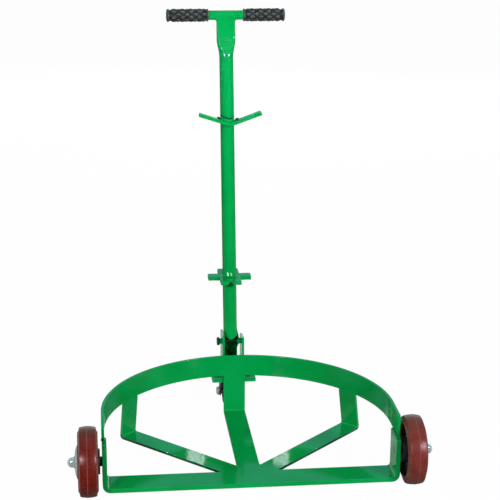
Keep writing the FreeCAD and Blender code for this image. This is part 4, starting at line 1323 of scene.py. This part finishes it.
def mark_painted_shade_inside(mesh):
    """Marks the faces inside the handle's open foot, for a painted shade that is almost black."""
    inverse = handle_frame.inverted()
    turn = inverse.to_3x3().normalized()
    marks = []
    for face in mesh.polygons:
        spot = inverse @ face.center
        way = turn @ face.normal
        inward = spot.x * way.x + spot.y * way.y < -1
        marks.append(1.0 if inward and spot.z < shaft_low else 0.0)
    mark(mesh, "inside", marks)


class TROLLEY_OT_grips(bpy.types.Operator):
    """Two rubber grips with staggered knobs"""
    bl_idname = "trolley.grips"
    bl_label = "Grips"

    def execute(self, context):
        size = sizes()
        inner, outer, radius, margin = 41.2, 136.5, 12.6, 10.0
        knob_long, knob_wide, lead = 12.4, 7.4, math.radians(7)
        tall = size.knob_height / mm
        body = lathe([
            (inner, 0, 0), (inner, 14.4, 0.6), (inner + 2.6, 14.5, 0.6), (inner + 3.4, radius, 0.5),
            (outer - 5.6, radius, 0.5), (outer - 4.8, 14.6, 0.6), (outer - 1.2, 14.6, 1.0),
            (outer, 12.4, 1.0), (outer, 0, 0),
        ], 64)
        knobs = grown(
            grip_knobs(), knob_shape(knob_long, knob_wide, tall), Radius=radius, Rows=size.knob_rows,
            Columns=6, Pitch=size.knob_pitch / mm, Start=inner + margin, End=outer - margin,
            Lead=lead, Material=finish("black_rubber"),
        )
        for side, name in ((-1, "left"), (1, "right")):
            place = grip_bar_frame @ Matrix.Diagonal((side, 1, 1, 1))
            grip = moved(joined([body, knobs]), place)
            made = stand_in(name + "_grip", grip, "handle", "black_rubber")
            mark_rubbed_and_painted_highlight(made.data, radius, radius + tall)
        return {"FINISHED"}


def mark_rubbed_and_painted_highlight(mesh, low, high):
    """Marks how far each face of a grip stands out: the knobs' tops are paler, partly rubbed and partly a
    painted highlight.
    """
    inverse = grip_bar_frame.inverted()
    marks = []
    for face in mesh.polygons:
        spot = inverse @ face.center
        marks.append(smooth(math.hypot(spot.y, spot.z), low + 0.2, high - 0.2))
    mark(mesh, "rubbed_and_painted_highlight", marks)


def knob_shape(long, wide, height):
    """A low six-sided knob with a smaller flat top, standing along Z."""
    points = []
    for level, share in ((-0.8, 1.0), (height * 0.45, 0.96), (height, 0.62)):
        for across, deep in ((-0.5, 0), (-0.22, -0.5), (0.22, -0.5), (0.5, 0), (0.22, 0.5), (-0.22, 0.5)):
            points.append((across * long * share, deep * wide * share, level))
    rings = numbered(3, 6)
    return mesh_from(points, [rings[0][::-1], rings[2]] + strips(rings))


class TROLLEY_OT_welds(bpy.types.Operator):
    """Weld beads of the frame and of the handle"""
    bl_idname = "trolley.welds"
    bl_label = "Welds"

    def execute(self, context):
        frame_beads = [bead(*run) for run in frame_weld_runs()]
        piece("frame_welds", moved(joined(frame_beads), deck_frame), "frame", "green_paint")
        collars = [collar_weld(plate_level, 2.4, 9.0), collar_weld(v_level, 1.2, 4.0, -70, 66)]
        bright = joined(collars + [bar_fillet()])
        # the dark beads are a painted shade round the V bar
        dark = joined([bead(*run) for run in handle_weld_runs()])
        marks = [0.0] * len(bright.polygons) + [1.0] * len(dark.polygons)
        made = piece("handle_welds", moved(joined([bright, dark]), handle_frame), "handle", "green_paint")
        mark(made.data, "dark_sides_and_painted_shade", marks)
        return {"FINISHED"}


def plate_level(across, behind):
    """Height of the wrench plate's level top, in the leaning handle's frame."""
    middle, half_thickness = 153.3, 5
    return middle + half_thickness / math.cos(handle_lean) + math.tan(handle_lean) * behind


def v_level(across, behind):
    """Height of the V bar's top near the tube, in the leaning handle's frame."""
    bottom, slope, point_across, point_behind = 515.3, 0.365, 4.5, -15.4
    return bottom + slope * abs(across - point_across) + math.tan(handle_lean) * (behind - point_behind)


def collar_weld(level, wide, tall, first=0, last=360):
    """A steep uneven weld round the tube, on top of a plate, between two bearings from the front."""
    section = (
        (-0.6, -0.15), (1.0, -0.15), (1.0, 0.03), (0.62, 0.12), (0.48, 0.3), (0.32, 0.55), (0.15, 0.82),
        (0.03, 1.0), (-0.6, 1.0),
    )
    whole = last - first == 360
    columns = 96 if whole else 48
    count = columns if whole else columns + 1
    points = []
    for index in range(count):
        share = index / columns
        turn = math.radians(first + (last - first) * share)
        lump = 1 + 0.05 * math.sin(11 * turn + 1) + 0.03 * math.sin(27 * turn)
        if not whole:
            lump *= smooth(min(share, 1 - share), -0.04, 0.16)
        for reach, height in section:
            radius = tube_radius + wide * reach * (lump if reach > 0 else 1)
            across, behind = radius * math.sin(turn), -radius * math.cos(turn)
            height = tall * height * (lump if height > 0 else 1)
            points.append((across, behind, level(across, behind) + height))
    rings = numbered(count, len(section))
    ends = [] if whole else [rings[0], rings[-1]]
    return mesh_from(points, strips(rings + rings[:1] if whole else rings) + ends)


def bead(path, radius, seed, ripple=0.10):
    """One weld bead along a path."""
    return cleaned(grown(
        weld_bead(), line_through(path), Radius=radius, Pitch=sizes().weld_pitch / mm, Ripple=ripple,
        Taper=1.0, Seed=float(seed), Material=finish("green_paint"),
    ))


def frame_weld_runs():
    """Paths and sizes of the welds on the frame."""
    usual = sizes().weld_radius / mm
    step = bar_outside - bar_thickness + 2.4
    low = ring_low
    runs = [
        ([(step, -86, low + 0.4), (step, -58, low + 0.6), (step, -30, low + 0.4)], usual, 3),
        (
            [(-step - 1, -44, low - 0.6), (-step - 2, -36, low + 1.2), (-step - 1, -29, low + 0.6)],
            usual + 0.6, 5,
        ),
        ([(step + 4.5, -88, low + 0.2), (step + 4.5, -79.5, low + 1.5)], usual, 7),
        ([(-315.2, -36, low + 1.5), (-312, -35.5, low + 3), (-308.6, -36, low + 1)], 5.0, 9),
    ]
    for side, rear in ((-1, -40), (1, -78)):
        outside = side * (bar_outside - 0.2)
        runs.append(([(outside, rear, low), (outside, -29, low)], 1.6, 11 + side))
    under_ring = 316.2
    for turn, half in ((90, 4.4), (45, 4.1), (135, 4.1)):
        bearing = way = math.radians(turn)
        if turn != 90:
            across = strap_reach * math.cos(way)
            bearing = math.atan2(strap_meeting.y + strap_reach * math.sin(way), across)
        path = []
        for index in range(13):
            spot = bearing + math.radians(half * (index / 6 - 1))
            path.append((under_ring * math.cos(spot), under_ring * math.sin(spot), low - 0.8))
        runs.append((path, 2.4, turn))
    plate_top = 98.4
    for across in (-27.8, -22.0, 18.0, 23.8):
        runs.append(([(across, 317, low + 6), (across, 317, ring_high - 4)], 2.4, 41 + across))
        runs.append(([(across, 322, plate_top), (across, 366, plate_top)], 2.4, 51 + across))
    for side in (-1, 1):
        runs.append(([(side * 27, 315.6, 98.6), (side * 48, 315.6, 98.6)], 2.2, 61 + side))
        runs.append(([(side * 25.4, 313.5, 91), (side * 25.4, 313.5, 97)], 2.2, 71 + side))
    runs.append(([(-20, 319, 113.6), (8, 319, 113.6)], 2.2, 81))
    flush = bar_top - 1.45
    runs.append(([(-62, bar_rear - 0.5, flush), (62, bar_rear - 0.5, flush)], 1.5, 21, 0.0))
    for across in (-middle_strap_width / 2, middle_strap_width / 2):
        seed = 22 + math.copysign(1, across)
        runs.append(([(across, bar_rear, flush + 0.1), (across, 6, flush + 0.1)], 1.4, seed, 0.0))
    return runs


def handle_weld_runs():
    """Paths and sizes of dark beads round the V bar: a painted shade where the tube meets the weld, and
    beside the tube.
    """
    reach = 16.2
    line = []
    for index in range(25):
        turn = math.radians(-80 + 156 * index / 24)
        across, behind = reach * math.sin(turn), -reach * math.cos(turn)
        line.append((across, behind, v_level(across, behind) + 6.8))
    runs = [(line, 1.4, 31, 0.05)]
    for start, end in ((-16.5, -25), (15.5, 26)):
        ends = [(across, -16, v_level(across, -16) + 0.8) for across in (start, end)]
        runs.append((ends, 2.6, 33 + start))
    return runs


def bar_fillet():
    """Smooth hollow weld between the flattened tube and the grip bar, broad in front, small at the sides."""
    size = sizes()
    axis = Vector((math.cos(grip_bar_turn), math.sin(grip_bar_turn)))
    steps = 8
    points = []
    spots = [Vector(tube_spot(column, flat_level, 0.0)[:2]) for column in range(tube_columns)]
    for column, spot in enumerate(spots):
        along = (spots[(column + 1) % tube_columns] - spots[column - 1]).normalized()
        way = Vector((along.y, -along.x))
        radius = (size.bar_fillet + (size.broad_fillet - size.bar_fillet) * abs(way.y) ** 6) / mm
        whole = grip_bar_radius + radius
        centre = spot + way * radius
        off = centre.y * axis.x - centre.x * axis.y
        low = grip_bar_height - math.sqrt(max(whole ** 2 - off ** 2, 1.0))
        middle = Vector((*centre, low))
        foot = axis * centre.dot(axis)
        start = Vector((*spot, low)) - middle
        end = (Vector((*foot, grip_bar_height)) - middle) * (radius / whole)
        points += [middle + round_spot for round_spot in arc(start, end, steps)]
        points.append(Vector((*(spot - way * 2.0), low + 4)))
    rings = numbered(len(spots), steps + 2)
    return mesh_from(points, strips(rings + rings[:1]))


class TROLLEY_OT_inner_parts(bpy.types.Operator):
    """Finishes of the axles, bushes and spacers that stay as the frame has them"""
    bl_idname = "trolley.inner_parts"
    bl_label = "Inner parts"

    def execute(self, context):
        slots = {item["node"]: item["material_slot"] for item in frame["record"]["subparts"]}
        for node, made in frame["nodes"].items():
            made.data.materials.clear()
            made.data.materials.append(finish(slots[node]))
        return {"FINISHED"}


class TROLLEY_PT_panel(bpy.types.Panel):
    """The trolley's sizes, colours and pieces"""
    bl_idname = "TROLLEY_PT_panel"
    bl_label = "Drum trolley"
    bl_space_type = "VIEW_3D"
    bl_region_type = "UI"
    bl_category = "Trolley"

    def draw(self, context):
        for holder, group in groups.items():
            column = self.layout.column(align=True)
            for name in group.__annotations__:
                column.prop(getattr(context.scene, holder), name)
        for operator in operators:
            self.layout.operator(operator.bl_idname)


operators = (
    TROLLEY_OT_stage, TROLLEY_OT_inner_parts, TROLLEY_OT_deck, TROLLEY_OT_straps, TROLLEY_OT_bracket,
    TROLLEY_OT_front_wheels, TROLLEY_OT_caster, TROLLEY_OT_handle, TROLLEY_OT_grips, TROLLEY_OT_welds,
)
groups = {"trolley_sizes": TrolleySizes, "trolley_finish": TrolleyFinish, "trolley_stage": TrolleyStage}


def register():
    """Registers the classes and hangs the property groups on the scene."""
    for made in (*groups.values(), *operators, TROLLEY_PT_panel):
        bpy.utils.register_class(made)
    for name, group in groups.items():
        setattr(bpy.types.Scene, name, bpy.props.PointerProperty(type=group))


def unregister():
    """Takes away what register added."""
    for name in groups:
        delattr(bpy.types.Scene, name)
    for made in reversed((*groups.values(), *operators, TROLLEY_PT_panel)):
        bpy.utils.unregister_class(made)


def main():
    """Builds the stage and every piece."""
    register()
    for operator in operators:
        category, name = operator.bl_idname.split(".")
        getattr(getattr(bpy.ops, category), name)()


if __name__ == "__main__":
    main()
